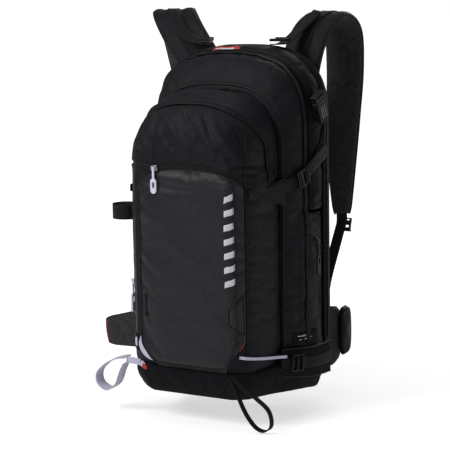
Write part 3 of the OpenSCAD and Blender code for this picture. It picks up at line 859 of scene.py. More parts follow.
def split_flap(body):
    """Cuts the flap out of the pocket along the zip and makes both of them sewn walls."""
    bm = bmesh.new()
    bm.from_mesh(body.data)

    def shear(mesh, way):
        """Moves the vertices so that the zip's line lies in one plane, or back."""
        for v in mesh.verts:
            v.co.y -= way * (zip_y(v.co.z / MM) - ZIP_LEAD - ZIP_Y) * MM

    def in_flap(f):
        c = f.calc_center_median()
        return c.y < ZIP_Y * MM and c.z > FLAP_Z * MM

    shear(bm, 1)
    for co, no in (((0, ZIP_Y * MM, 0), (0, 1, 0)), ((0, 0, FLAP_Z * MM), (0, 0, 1))):
        bmesh.ops.bisect_plane(bm, geom=bm.verts[:] + bm.edges[:] + bm.faces[:], plane_co=co, plane_no=no,
                               dist=1e-6)
    flap_bm = bm.copy()
    bmesh.ops.delete(bm, geom=[f for f in bm.faces if in_flap(f)], context="FACES")
    bmesh.ops.delete(flap_bm, geom=[f for f in flap_bm.faces if not in_flap(f)], context="FACES")
    shear(bm, -1)
    shear(flap_bm, -1)
    bm.to_mesh(body.data)
    bm.free()
    flap = from_bmesh("front_flap_shell", flap_bm)
    for o in (body, flap):
        modify(o, "SOLIDIFY", thickness=2.0 * MM, offset=-1.0, use_even_offset=False)
        bake(o)
    return flap


pocket = build_pocket()
pocket_skin = Skin(pocket)
flap = split_flap(pocket)
finish_piece(pocket, "pack", "shell", ["front_pocket"])
finish_piece(flap, None, "shell", ["front_flap"])
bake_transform(flap)


# ---------- coated stash panel ----------

def stash_edge(x):
    """Lowest and highest z of the panel at x."""
    (x0, x1), (left, right) = STASH_X, STASH_CUT
    low = STASH_LOW + max(0.0, left[0] - x) / (left[0] - x0) * left[1] \
        + max(0.0, x - right[0]) / (x1 - right[0]) * right[1]
    u = abs(2 * (x - x0) / (x1 - x0) - 1)
    return low, STASH_SIDE_TOP + (STASH_TOP - STASH_SIDE_TOP) * math.sqrt(max(0.0, 1 - u ** 2.6))


STASH_VALLEYS = [[(-86, -122, 330), (-62, -124, 316), (-38, -124, 304)],
                 [(-84, -122, 236), (-56, -124, 210), (-28, -124, 190)],
                 [(50, -124, 290), (80, -123, 298), (104, -112, 312)],
                 [(48, -124, 186), (76, -123, 200), (104, -112, 224)],
                 [(-70, -124, 360), (-20, -125, 352), (40, -125, 350)]]
STASH_RIDGES = [[(58, -124, 168), (82, -122, 182), (104, -112, 202)],
                [(-86, -122, 252), (-60, -124, 228), (-34, -124, 206)],
                [(-80, -123, 312), (-50, -124, 296), (-20, -124, 286)],
                [(-60, -124, 372), (-10, -125, 366), (60, -124, 360)],
                [(20, -124, 120), (56, -124, 132), (92, -120, 150)]]


def build_stash():
    """Panel drawn on a grid that is cast on the pocket's form, then blown out inside its sewn edge."""
    middle, half = sum(STASH_X) / 2, (STASH_X[1] - STASH_X[0]) / 2
    nu, nv, ends = 72, 112, 0.985 * math.pi / 2
    form_obj = layer_hull("stash_form", POCKET_STATIONS)
    form = Skin(form_obj).tree
    bpy.data.objects.remove(form_obj)
    verts, hold = [], []
    for i in range(nu + 1):
        u = -1 + 2 * i / nu
        x = middle + half * math.sin(u * ends) / math.sin(ends)
        low, high = stash_edge(x)
        for j in range(nv + 1):
            z = low + (high - low) * j / nv
            hit, n, _, _ = form.ray_cast(Vector((x, -300, z)), Vector((0, 1, 0)))
            n = unit(n) * (-1 if n[1] > 0 else 1)
            edge = min(1 - abs(x - middle) / half, (z - low) / 120, (high - z) / 120)
            crown = 1 - math.exp(-max(edge, 0) * 9)
            belly = math.sin(math.pi * np.clip((z - 60) / 300, 0, 1)) * max(0, 1 - (u * u)) ** 0.5
            verts.append(np.array(hit) + n * (1.3 + 1.6 * crown + 3.2 * belly))
            hold.append(1.0 * (i in (0, 1, nu - 1, nu) or j in (0, 1, nv - 1, nv)))
    obj = new_object("stash_panel_shell", verts, grid_faces(nu, nv))
    inflate(obj, np.array(hold), pressure=0.7, cap=3.0, grow=0.008, bend=1.0)
    subdivide(obj)

    def inner(c):
        return fade(np.abs(c[:, 0]), 78, 102) * fade(c[:, 2], 350, 380) * fade(-c[:, 2], -90, -55)

    def low_band(c):
        return inner(c) * fade(np.abs(c[:, 2] - 130), 10, 60)

    ruffle(obj, 2.2, [[1 / 95, 0, 1 / 70], [0, 1 / 60, 0], [1 / 400, 0, -1 / 300]], inner, 2.7)
    folds(obj, STASH_VALLEYS, -1.8, 8)
    folds(obj, STASH_RIDGES, 2.0, 11)
    ruffle(obj, 1.3, (90, 60, 34), low_band, 7.7)
    return obj


stash = build_stash()
stash_skin = Skin(stash)
modify(stash, "SOLIDIFY", thickness=1.3 * MM, offset=-1.0)
bake(stash)
finish_piece(stash, "pack", "coated", ["stash_panel"])


# ---------- main compartment ----------

def build_main():
    half, back, foot_top = BACK_W / 2 - 4, MAIN_HI[1], 296.0
    rear = [(s * half, y, z) for s in (-1, 1) for y in (MAIN_BACK_Y - 20, back - 8) for z in (LAYER_Z + 8, foot_top)]
    rear += [(s * (half - 8), y, z) for s in (-1, 1) for y in (MAIN_BACK_Y - 20, back - 8)
             for z in (LAYER_Z, foot_top)]
    rear += [(s * (half - 8), back, z) for s in (-1, 1) for z in (LAYER_Z + 6, foot_top)]
    core = outline(BACK_W - 2 * SLEEVE_BAND - 4, LAYER_Z, BODY_H - SLEEVE_BAND - 2, TOP_RISE - 36)
    body = voxel(merge(layer_hull("main_compartment_shell", MAIN_STATIONS), hull("main_rear", rear),
                       hull("main_core", [q for y in (MAIN_BACK_Y - 20, back) for q in at_y(core, y)])), 4.6, 5)
    seams = [MAIN_FRONT_EDGE, at_y(outline(BACK_W - 12, LAYER_Z, BODY_H - 12), MAIN_BACK_Y)]
    for s in (-1, 1):
        seams += [[(s * 132, -8, 294), (s * 140, 30, 270), (s * 146, 60, 250), (s * 147, 96, 222)],
                  [(s * 145, 96, 40), (s * 145, 96, 296)]]
    lines = Lines(*seams)
    co = coords(body)
    x, y, z = co.T
    hold = most(fade(lines.distance(co), 3, 8), fade(z, 44, 56), y > 88, (y > 47) & (z > 294),
                (y < -6) & (np.abs(x) < 112) & (z < 500))
    inflate(body, hold, pressure=5, cap=5, grow=0.02)
    subdivide(body)
    crease(body, lines, 1.5, 3.0)

    def side(c):
        return fade(-np.abs(c[:, 0]), -134, -118) * fade(-c[:, 2], -80, -50) * fade(c[:, 1], 84, 94)

    def top(c):
        return fade(-c[:, 2], -520, -430) * fade(c[:, 1], 40, 46)

    ruffle(body, 2.6, [[0, 1 / 55, 1 / 90], [1 / 50, 0, 0], [0, 1 / 260, -1 / 160]], side, 1.3)
    ruffle(body, 1.6, (34, 60, 44), top, 6.1)
    return body


main = build_main()
finish_piece(main, "pack", "shell", ["main_compartment"])
main_skin = Skin(main)


# ---------- airbag sleeve ----------

def sleeve_path():
    """Outer and inner edge of the horseshoe in XZ, from the right foot over the top to the left foot."""
    low, knee = SLEEVE_LO[2], BODY_H - TOP_RISE
    inner_w, inner_top, inner_rise = BACK_W - 2 * SLEEVE_BAND, BODY_H - SLEEVE_BAND, TOP_RISE - 34
    rising, falling = np.arange(low, knee, 5), np.arange(knee, low - 0.1, -5)
    outer = [(BACK_W / 2, z) for z in rising] + top_arc(BACK_W, BODY_H, TOP_RISE, 2) \
        + [(-BACK_W / 2, z) for z in falling]
    rising = np.linspace(low, inner_top - inner_rise, len(rising) + 1)[:-1]
    falling = np.linspace(inner_top - inner_rise, low, len(falling) + 1)[1:]
    inner = [(inner_w / 2, z) for z in rising] + top_arc(inner_w, inner_top, inner_rise, 2) \
        + [(-inner_w / 2, z) for z in falling]
    return np.array(outer), np.array(inner)


SLEEVE_OUTER, SLEEVE_INNER = sleeve_path()
SLEEVE_FRONT, SLEEVE_BACK = SLEEVE_LO[1], SLEEVE_HI[1]
SLEEVE_Y = (SLEEVE_FRONT + SLEEVE_BACK) / 2


def sleeve_line(share, y):
    """Line along the sleeve: share is 1 at its outer edge and 0 at its inner edge."""
    return at_y(SLEEVE_OUTER * share + SLEEVE_INNER * (1 - share), y)


def sleeve_tube(name, cut, share, depth):
    """Tube along the sleeve, cut rows short at both ends: share is 1 at the outer and -1 at the inner edge."""
    rows = slice(cut, len(SLEEVE_OUTER) - cut)
    mid, half = (((SLEEVE_OUTER + way * SLEEVE_INNER) / 2)[rows, :, None] for way in (1, -1))
    x, z = (mid[:, k] + half[:, k] * share for k in (0, 1))
    return tube(name, np.stack([x, SLEEVE_Y + np.broadcast_to(depth, x.shape), z], 2))


def build_sleeve():
    turn = 2 * math.pi * np.arange(36) / 36
    reach = 0.965 * (SLEEVE_BACK - SLEEVE_FRONT) / 2
    obj = voxel(sleeve_tube("airbag_sleeve_shell", 0, 0.965 * spow(np.cos(turn), 0.62),
                            reach * spow(np.sin(turn), 0.62)), 4.4, 3)
    seam_front = sleeve_line(0.875, SLEEVE_FRONT + 3)
    co = coords(obj)
    lines = Lines(seam_front, sleeve_line(1, SLEEVE_BACK - 2))
    hold = most(fade(lines.distance(co), 2, 5), fade(Lines(sleeve_line(0, SLEEVE_Y)).distance(co), 18, 24),
                fade(co[:, 2], SLEEVE_LO[2] + 6, SLEEVE_LO[2] + 14), co[:, 1] > SLEEVE_BACK - 4)
    inflate(obj, hold, pressure=6, cap=5, grow=0.02)
    subdivide(obj)
    crease(obj, Lines(seam_front), 1.1, 2.4)

    def upper(c):
        return fade(-c[:, 2], -360, -320)

    ruffle(obj, 1.5, (46, 70, 46), upper, 3.9)
    return obj


def build_roll():
    """Packed airbag inside the sleeve, folded in pleats."""
    cut, turn = 4, 2 * math.pi * np.arange(28) / 28
    pleat = 1 + 0.05 * np.sin(np.arange(cut, len(SLEEVE_OUTER) - cut) * 1.3)
    wave = pleat[:, None] * (1 + 0.04 * np.cos(5 * turn))
    return sleeve_tube("airbag_folded", cut, np.cos(turn) * 0.7 * wave, np.sin(turn) * 15.5 * wave)


sleeve = build_sleeve()
finish_piece(sleeve, "pack", "ripstop", ["airbag_sleeve"])
sleeve_skin = Skin(sleeve)
finish_piece(build_roll(), "pack", "airbag", ["airbag_roll"])


# ---------- base, back panel and lumbar pad ----------

def build_base():
    """Reinforced base cover: it wraps the lower edges of the layers and curves under to the flat underside."""
    plan = np.array([(80, -104), (102, -88), (114, -12), (130, 20), (137, 88), (126, 101)], float)
    brim = np.array([(88, -114.5), (111, -104), (120.5, -50), (128.5, -11), (140.5, 20), (146, 97)], float)
    levels = [(0.0, 0.0, 4.0), (2.5, 0.0, 0.5), (12, 0.35, 0), (24, 0.75, 0), (36, 0.97, 0), (50, 1.0, 0)]
    pts = []
    for z, share, inset in levels:
        for x, y in plan + (brim - plan) * share:
            r = 1 - inset / math.hypot(x, y)
            pts += [(x * r, y * r, z), (-x * r, y * r, z)]
    obj = voxel(hull("base_cover", pts), 4.0, 3)
    z = coords(obj)[:, 2]
    inflate(obj, most(fade(z, 6, 12), fade(-z, -48, -38)), pressure=4, cap=2.5, grow=0.02)
    subdivide(obj)

    def above_edge(c):
        return fade(-c[:, 2], -12, -4)

    ruffle(obj, 1.2, (46, 40, 26), above_edge, 5.5)
    co = coords(obj)
    co[:, 2] = np.maximum(co[:, 2], 0.0)
    co[:, 2] -= 11 * np.clip((co[:, 1] + 60) / 150, 0, 1) ** 1.5 * fade(co[:, 2], 4, 40)
    put_coords(obj, co)
    return obj


base = build_base()
finish_piece(base, "pack", "dark", ["base_tray"])
base_skin = Skin(base)


def pad(name, edge, y0, y1, profile, step=4.0):
    """Moulded pad over an XZ outline: its wearer side stands to y1 by profile(x, z, inset), and its rim is bound."""
    edge = np.array(edge)
    xs, zs = (np.arange(edge[:, k].min() - step, edge[:, k].max() + 2 * step, step) for k in (0, 1))
    tree = point_tree(resample(at_y(edge, 0.0), 1.5))

    def inside(x, z):
        hit = False
        for (x0, z0), (x1, z1) in zip(edge, np.roll(edge, -1, axis=0)):
            if (z0 > z) != (z1 > z) and x < x0 + (z - z0) / (z1 - z0) * (x1 - x0):
                hit = not hit
        return hit

    grid = {}
    for i, x in enumerate(xs):
        for j, z in enumerate(zs):
            near, _, d = tree.find((x, 0, z))
            if inside(x, z):
                grid[i, j] = (x, z, d)
            elif d < step * 0.75:
                grid[i, j] = (near[0], near[2], 0.0)
    bm = bmesh.new()
    front, back = {}, {}
    for key, (x, z, d) in grid.items():
        back[key] = bm.verts.new((x * MM, (y0 + (y1 - y0) * profile(x, z, d)) * MM, z * MM))
        front[key] = bm.verts.new((x * MM, y0 * MM, z * MM))
    for i, j in grid:
        quad = [(i, j), (i + 1, j), (i + 1, j + 1), (i, j + 1)]
        if all(q in grid for q in quad):
            bm.faces.new([back[q] for q in quad])
            bm.faces.new([front[q] for q in quad][::-1])
    bmesh.ops.delete(bm, geom=[v for v in bm.verts if not v.link_faces], context="VERTS")
    bmesh.ops.bridge_loops(bm, edges=[e for e in bm.edges if len(e.link_faces) == 1])
    bmesh.ops.recalc_face_normals(bm, faces=bm.faces)
    return subdivide(from_bmesh(name, bm))


def panel_height(x, z, d):
    """Two columns of foam pads with a channel down the spine and three across."""
    rise = 1 - math.exp(-((d - 3) / 9) ** 2) if d > 3 else 0.0
    spine = 1 - 0.62 * math.exp(-((x / 13) ** 4))
    across = math.prod(1 - 0.5 * math.exp(-(((z - middle + abs(x) * 0.18) / 9) ** 4)) for middle in (168, 300, 424))
    return 0.22 + 0.78 * rise * spine * across


def lumbar_height(x, z, d):
    """One cushion with a shallow channel across."""
    return 0.2 + 0.8 * (1 - math.exp(-(d / 10) ** 2)) * (1 - 0.3 * math.exp(-((z - 105) / 5) ** 2))


back = pad("back_panel_foam", outline(BACK_W - 22, PANEL_LO[2], PANEL_HI[2], 104, 36), PANEL_LO[1], PANEL_HI[1],
           panel_height)
finish_piece(back, "pack", "mesh", ["back_panel"])
lumbar = pad("lumbar_pad_foam", outline(170, LUMBAR_LO[2], LUMBAR_HI[2], 40, 24), LUMBAR_LO[1], LUMBAR_HI[1],
             lumbar_height)
finish_piece(lumbar, "pack", "mesh", ["lumbar_pad"])
back_skin = Skin(back, lumbar)


# ---------- padded straps and belt ----------

GROOVE_X = 0.46


def padded(name, path, ref, w, t, w_end, body, node, mats, taper=1, face_side=-1, groove=0.0, cap=3.0, edge=0.24,
           swell=1.0):
    """Padded band with thin bound edges, whose face on face_side of its frames gets the first material.

    Returns its path, frames, half widths and the lines along its two edges.
    """
    p = resample(path, 5.0)
    a, v = across_ref(p, ref)
    xs = np.sin(np.linspace(-math.pi / 2, math.pi / 2, 15))
    bulge = edge + (1 - edge) * (1 - np.abs(xs) ** 4.5) ** 0.55
    dip = 1 - groove * np.exp(-((np.abs(xs) - GROOVE_X) / 0.09) ** 2)
    top, bottom = (bulge * dip, bulge) if face_side > 0 else (bulge, bulge * dip)
    ring = np.column_stack([np.append(xs, xs[::-1]), np.append(top, -bottom[::-1])])
    s, f = lengths(p), np.linspace(0, 1, len(p)) ** taper
    ends = np.clip(np.minimum(s, s[-1] - s) / 14, 0, 1) ** 0.5
    wide = (w * (1 - f) + w_end * f) / 2
    rim = wide * (0.86 + 0.14 * ends)
    size = np.column_stack([rim, t / 2 * swell * (0.4 + 0.6 * ends)])
    obj = new_object(name, *sweep(p, a, v, ring * size[:, None]))
    k, across = len(ring), np.abs(np.tile(ring[:, 0], len(p)))
    hold = most(across > 0.93, (np.abs(across - GROOVE_X) < 0.08) * (groove > 0))
    hold[:k] = hold[-k:] = 1
    inflate(obj, hold, pressure=3, cap=cap, grow=0.02)
    wear_mats(obj, mats)
    if len(mats) > 1:
        index = np.zeros(len(obj.data.polygons), np.int32)
        index[:k * (len(p) - 1)] = np.tile(np.sign(ring[:, 1] + np.roll(ring[:, 1], -1)) != face_side, len(p) - 1)
        obj.data.polygons.foreach_set("material_index", index)
    finish_piece(subdivide(obj), body, mats[0], [node])
    return p, a, v, wide, [p + a * (way * rim)[:, None] for way in (-1, 1)]


STRAP_RIGHT = smooth([(76, 136, 470), (80, 140, 536), (88, 168, 598), (100, 210, 624), (108, 246, 598),
                      (109, 253, 530), (110, 242, 440), (116, 224, 350), (123, 210, 274)])
STRAP_LEFT = smooth([(-86, 140, 470), (-116, 144, 530), (-164, 154, 590), (-204, 182, 628), (-226, 222, 618),
                     (-222, 246, 548), (-196, 246, 440), (-164, 232, 350), (-146, 220, 274)])
STRAP_T = 13
for body_name, path, ref in (("shoulder_strap_left", STRAP_LEFT, (1, 0.1, 0)),
                             ("shoulder_strap_right", STRAP_RIGHT, (1, 0, 0))):
    p, a, v, wide, rims = padded(body_name + "_pad", path, ref, 74, STRAP_T, 32, body_name, body_name,
                                 ["shell", "mesh"], taper=4, groove=0.35, swell=1.05)
    for rim in rims:
        cord(body_name, "piping", "strap_piping", rim, 1.9)
    crown = p - v * (STRAP_T / 2 + 0.6)
    put(body_name, "webbing", "strap_centre_web",
        *sweep(crown[6:-4], a[6:-4], v[6:-4], STRAP_EDGE * (22, 1.6)))
    for way in (-1, 1):
        stitches(body_name, crown[6:-4] - v[6:-4] * 0.8, -v[6:-4], way * 9)
        line = p + a * (way * (wide - 7))[:, None] - v * (STRAP_T / 2 * 0.82)
        stitches(body_name, line[4:-4], -v[4:-4])

WING_RIGHT = smooth([(126, 138, 66), (130, 156, 66), (126, 178, 66), (111, 200, 66), (84, 218, 66), (46, 230, 66)])
WING_LEFT = smooth([(-132, 136, 62), (-180, 139, 57), (-235, 138, 49), (-290, 133, 41), (-334, 128, 36)])
HIP_POCKET = smooth([(147, 158, 74), (141.8, 185.5, 74), (123, 213, 74)])
for body_name, path, w, w_end, face_side in (("hip_wing_right", WING_RIGHT, 108, 54, -1),
                                             ("hip_wing_left", WING_LEFT, 100, 50, 1)):
    p, a, _, _, rims = padded(body_name + "_pad", path, (0, 0, 1), w, 14, w_end, body_name, body_name,
                              ["shell", "mesh"], face_side=face_side)
    for rim in rims:
        cord(body_name, "piping", "wing_piping", rim, 2.0)
h = np.linspace(-22, 22, 16)[:, None]
cord("hip_wing_left", "red_trim", "wing_end_trim", p[-1] + a[-1] * h - tangents(p)[-1] * (0.004 * h * h - 1.5), 1.5)
for rim in padded("hip_pocket_shell", HIP_POCKET, (0, 0, 1), 88, 16, 68, "hip_wing_right", "hip_pocket", ["shell"],
                  cap=4, edge=0.55)[-1]:
    cord("hip_wing_right", "piping", "hip_pocket_piping", rim, 2.0)


# ---------- webbing ----------

WEB_T = 1.8


def web(kind, body, mat, node, path, ref, w, t=WEB_T):
    """Band of webbing that stands for a CAD node."""
    ribbon(body, mat, kind, path, ref, w, t)
    named(kind, body, mat, [node])


for pts in both_sides([(119.5, -60, 340), (131, -11, 348), (142.5, 21, 360), (151, 50, 378), (152.5, 96, 402)]):
    ribbon("pack", "webbing", "compression_straps", smooth(pts), (0, -0.35, 0.94), 22, WEB_T)
named("compression_straps", "pack", "webbing", ["compression_webbing"])
for pts in both_sides([(115.6, -101, 345), (119.1, -60, 342), (124.6, -30, 340), (131.1, -10, 340)]):
    line = smooth(pts)
    ribbon("pack", "shell", "strap_gussets", line, (0, -0.2, 0.97), 9, 1.6, 46)
    a, v = across_ref(line, (0, -0.2, 0.97))
    v = facing_out(v, line * (1, 0, 0))
    half = np.linspace(4.5, 23, len(line))[:, None]
    for way in (-1, 1):
        cord("pack", "piping", "strap_gusset_edges", line + a * way * half, 1.1)
        stitches("pack", line + a * way * (half - 3) + v * 0.9, v)

# Load lifter, lower webbing and hanging end of each shoulder strap.
HARNESS = {
    "left": ((1, 0.1, 0), [(-84, 80, 578), (-92, 110, 580), (-124, 126, 584), (-160, 139, 600), (-192, 158, 632)],
             [(-124, 132, 128), (-128, 150, 168), (-136, 184, 216), (-145, 215, 258)],
             [(-152, 222, 300), (-147.5, 218.5, 282), (-145.5, 217.5, 268), (-145, 216.5, 258)]),
    "right": ((1, 0, 0), [(64, 80, 578), (66, 110, 580), (76, 142, 600), (92, 184, 632)],
              [(124, 132, 128), (124, 148, 168), (124, 178, 216), (124, 205, 258)],
              [(119.5, 213, 300), (122.5, 209, 282), (123.8, 207.5, 268), (124, 206.5, 258)]),
}
for side_name, (lifter_ref, lifter, lower, end) in HARNESS.items():
    body_name, kind = "shoulder_strap_" + side_name, "harness_web_" + side_name
    ribbon(body_name, "webbing", kind, smooth(lifter), lifter_ref, 20, WEB_T)
    web(kind, body_name, "webbing", "strap_webbing_" + side_name, smooth(lower), (1, 0, 0), 20)
    ribbon(body_name, "webbing", "strap_end_web", smooth(end), (1, 0, 0), 21, WEB_T)

STABILISER = [(126, -24, 52), (140, 4, 50), (154, 44, 46), (158, 92, 46)]
for pts in both_sides(STABILISER):
    ribbon("pack", "dark", "belt_side_bands", smooth(pts), (0, 0, 1), 46, 3, 54)
named("belt_side_bands", "pack", "dark", ["belt_stabilisers"])

HANDLE = smooth([(-24, 136, 538), (-27, 136, 520), (-15, 136, 508), (15, 136, 508), (27, 136, 520), (24, 136, 538)])
SKI_LOOP = smooth([(-122, -112, 56), (-142, -108, 52), (-166, -103, 42), (-189, -100, 22), (-190, -98, 2),
                   (-172, -97, -8), (-152, -100, 4), (-138, -106, 28), (-125, -113, 46)])
SKI_BAND = smooth([(101, -115, 78), (113, -108, 76), (122, -72, 70), (128, -40, 66), (134, -16, 63)])
AXE_LOOP = smooth([(84, -116, 42), (98, -118, 16), (112, -116, -14), (128, -112, -36), (142, -106, -42),
                   (152, -102, -32), (148, -104, -8), (130, -112, 12), (106, -118, 30), (88, -116, 46)])
BELT_RIGHT = smooth([(60, 237, 66), (38, 244, 66), (14, 248, 66), (-5, 250, 66)])
BELT_LEFT = smooth([(-328, 140, 36.7), (-306, 145, 39.5), (-284, 149, 42), (-266, 151, 45)])
web("haul_handle_web", "haul_handle", "webbing", "haul_handle", HANDLE, (0, 1, 0), 18, 3)
web("ski_loop_left_web", "ski_loop_left", "white_webbing", "ski_loop_left", SKI_LOOP, (0.25, 1, 0.2), 18)
web("ski_loop_right_web", "pack", "white_webbing", "ski_loop_right", SKI_BAND, (0, 0, 1), 5)
web("axe_loop_web", "axe_loop", "webbing", "axe_loop", AXE_LOOP, (0.3, 1, 0.2), 8, 2.2)
web("belt_web_left", "hip_wing_left", "webbing", "belt_webbing_left", BELT_LEFT, (0, 0, 1), 38)
web("belt_web_right", "hip_wing_right", "webbing", "belt_webbing_right", BELT_RIGHT, (0, 0, 1), 38)

GEAR_LOOP = np.array([-141.5, -80, 302.0])
turn = np.radians(np.arange(0, 360, 5))
out = np.column_stack([np.cos(turn), np.sin(turn), np.zeros(len(turn))])
put("pack", "webbing", "gear_loop_web", *sweep(GEAR_LOOP + 21 * out, (0, 0, 1), out, STRAP_EDGE * (26, 2), ring=True))
tab = np.array([GEAR_LOOP + (22, y, 0) for y in (-12, -4, 4, 12)])
put("pack", "webbing", "gear_loop_web", *sweep(tab, (0, 0, 1), (1, 0, 0), STRAP_EDGE * (26, 3)))
named("gear_loop_web", "pack", "webbing", ["gear_loop"])


# ---------- hard parts carried over from the CAD ----------

def dress(nodes, mat, bevel=0.5, segments=2):
    for name in nodes:
        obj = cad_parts[name]
        wear_mats(obj, [mat])
        modify(obj, "WELD", merge_threshold=0.00002)
        if bevel:
            modify(obj, "BEVEL", width=bevel * MM, segments=segments, limit_method="ANGLE",
                   angle_limit=math.radians(35), harden_normals=False)


dress(["accessory_socket", "accessory_plug", "belt_socket", "belt_plug", "lifter_buckle_left",
       "lifter_buckle_right", "strap_buckle_left", "strap_buckle_right", "compression_buckle_left",
       "compression_buckle_right", "sternum_strap_left", "sternum_strap_right"], "buckle", 0.7, 3)
dress(["trigger_pocket"], "dark", 1.2, 3)
dress(["trigger_handle"], "red", 1.2, 3)
dress(["frame_sheet"], "frame", 0.3)
dress(["frame_stays", "inflator_head", "trigger_plunger"], "aluminium")
dress(["gas_cartridge"], "steel", 0)
dress(["outlet_hose", "trigger_cable"], "rubber", 0)
dress(["stash_slider", "tool_slider_upper", "tool_slider_lower"], "slider", 0.35)
dress(["arch_slider", "side_slider"], "gunmetal", 0.35)
dress(["stash_pull", "tool_pull_upper", "tool_pull_lower"], "pull", 0.6, 3)
dress(["arch_pull", "side_pull"], "dark_pull", 0.6, 3)


# ---------- zips ----------

arch, low_x = zip_ring(), FRONT_W / 2 + 0.5
arch = np.vstack([[(low_x, ZIP_Y + ZIP_LEAD, z) for z in (362, 372, 382)], arch[arch[:, 2] > FLAP_Z + 3],
                  [(-low_x, ZIP_Y + ZIP_LEAD, z) for z in (382, 372, 362)]])
zip_line(*pocket_skin.lay(arch, 3.0, 0.8), w=13, rise=1.8)
rim = at_y(outline(BACK_W - 13, LAYER_Z + 20, BODY_H - 13)[6:-6], 37)
zip_line(*main_skin.lay(rim, 3.0, 0.6), w=12, rise=1.8)
zip_line(*main_skin.lay(smooth([(147, 48, 258), (149, 70, 244), (149, 92, 229)]), 3.0, 0.3), w=10)
for y in (-92.0, -77.0):
    x = -(FRONT_W / 2 - 7 + 6 * (y + 104) / 54)
    zip_line(*pocket_skin.lay([(x, y, 84), (x, y, 250)], 3.0, 0.2), w=9, rise=0.6)
arc = at_y([(x, stash_edge(x)[1] + 2.5) for x in np.linspace(STASH_X[0] + 4, STASH_X[1] - 6, 70)], FRONT_Y - 1)
zip_line(*pocket_skin.lay(arc, 3.0, 0.8), w=7, coil=2.8, pitch=1.5, lips=False)
named("zips_coil", "pack", "coil", ["zipper_tracks"])


def outwards(path, middle):
    """Directions across an upright path in one XZ plane, away from its middle."""
    return facing_out(np.cross(tangents(path), (0.0, 1, 0)), path - middle)


back_ring = resample(at_y(outline(BACK_W + 1, 60, BODY_H - 0.5)[4:-4], 103.5), 3)
back_n = outwards(back_ring, (0, 103.5, 330))
tape("pack", "tape", "back_zip_tape", back_ring - back_n * 1.2, back_n, 9, 1.4)
teeth("pack", "back_zip", back_ring - back_n * 0.8, back_n, 4.2, 1.9, 1.5)
named("back_zip_coil", "pack", "coil", ["back_access_zip"])

# Gusset that closes the bag between the sleeve and the back panel.
gusset_z = PANEL_LO[2] + 4
gusset = outline(BACK_W - 4, gusset_z, BODY_H - 3.6) + [(-100, gusset_z), (100, gusset_z)]
gusset = resample(at_y(gusset, 102), 4)[:-1]
put("pack", "dark", "back_gusset",
    *sweep(gusset, (0, 1, 0), outwards(gusset, (0, 102, 300)), STRAP_EDGE * (22, 4), ring=True))


# ---------- piping and seams ----------

def lay_piping(skin, pts, r, rows, body="pack"):
    """Piping on a surface, with stitch rows beside it."""
    p, n = skin.lay(pts, 3.0, 0.3)
    cord(body, "piping", "piping", p, r)
    for s in rows:
        stitches(body, p - n * 0.3, n, s)


def seam(skin, pts, body="pack", fold=True):
    """Flat-felled seam: a raised fold of cloth between two stitch rows."""
    p, n = skin.lay(pts, 3.0, 0.1)
    if fold:
        tape(body, "shell", "felled_seams", p, n, 5.5, 1.0)
    for s in (-2.0, 2.0):
        stitches(body, p + n * 0.4, n, s)
    return p, n


low_corner = POCKET_CORNER[POCKET_CORNER[:, 2] < FLAP_Z]
for s in (1, -1):
    lay_piping(pocket_skin, low_corner[low_corner[:, 0] * s > 0], 1.5, (4, -4))
    lay_piping(pocket_skin, [(s * 112, -104, 393), (s * 109, -98, 415), (s * 103, -92, 438)], 1.0, (3,), "front_flap")
lay_piping(main_skin, MAIN_FRONT_EDGE[5:-5], 2.2, (5, 8))
lay_piping(pocket_skin, POCKET_REAR[4:-4] - (0, 2, 0), 1.5, (-4,))
lay_piping(sleeve_skin, sleeve_line(0.86, SLEEVE_FRONT + 2), 1.4, (4,))
lay_piping(sleeve_skin, sleeve_line(0.93, SLEEVE_BACK - 3), 1.6, (4,))

# Left vertical seam of the flap with its two bartacks.
p, n = seam(pocket_skin, [(-48, FRONT_Y, 394), (-49, FRONT_Y, 430), (-51, -112, 462), (-53, -100, 478)], "front_flap")
for i in (4, int(len(p) * 0.86)):
    bartack("front_flap", p[i], np.cross(n[i], p[i + 1] - p[i]), n[i], 16)
# Side gathers and V gusset beside the pocket's right and left edges.
for s in (-1, 1):
    for z in (377, 322):
        seam(pocket_skin, [(s * 114, -96, 350), (s * 118, -60, (350 + z) / 2), (s * 119, -16, z)], fold=False)
    lay_piping(main_skin, [(s * 131, -6, 293), (s * 139, 26, 272), (s * 146, 56, 252)], 1.3, (4,))
    seam(main_skin, [(s * 140, 20, 60), (s * 141, 20, 250)], fold=False)
    for z in (408, 360):
        q, n = pocket_skin.near((s * 120, -44, z))
        bartack("pack", q + n * 1.6, (0, 1, 0), n, 13)

# Piping and stitches round the stash panel; a thin red edge on its cut right corner.
x0, x1 = STASH_X[0] + 1.2, STASH_X[1] - 1.2
border = [(x, stash_edge(x)[1] - 1) for x in np.linspace(x0, x1, 60)]
border += [(x1, z) for z in np.linspace(345, stash_edge(x1)[0] + 3, 40)]
border += [(x, stash_edge(x)[0] + 1) for x in np.linspace(x1, x0, 60)]
border += [(x0, z) for z in np.linspace(stash_edge(x0)[0] + 3, 345, 40)]
p, n = stash_skin.lay(at_y(border, FRONT_Y - 4), 3.0, 0.1)
cord("pack", "piping", "stash_piping", p, 1.5)
inner_rim = at_y([(7.5 + (x - 7.5) * 0.955, 215 + (z - 215) * 0.975) for x, z in border], FRONT_Y - 6)
stitches("pack", *stash_skin.lay(inner_rim, 3.0, 0.2))
p, n = stash_skin.lay([(107, -112, 101), (99, -114, 88)], 2.0, 0.9)
cord("pack", "red_trim", "red_edge", p, 0.7)


# ---------- small sewn parts and generic marks ----------

def upright(left, right, z0, z1):
    """Corners of an upright patch between two places in XY."""
    return [(*left, z0), (*right, z0), (*right, z1), (*left, z1)]


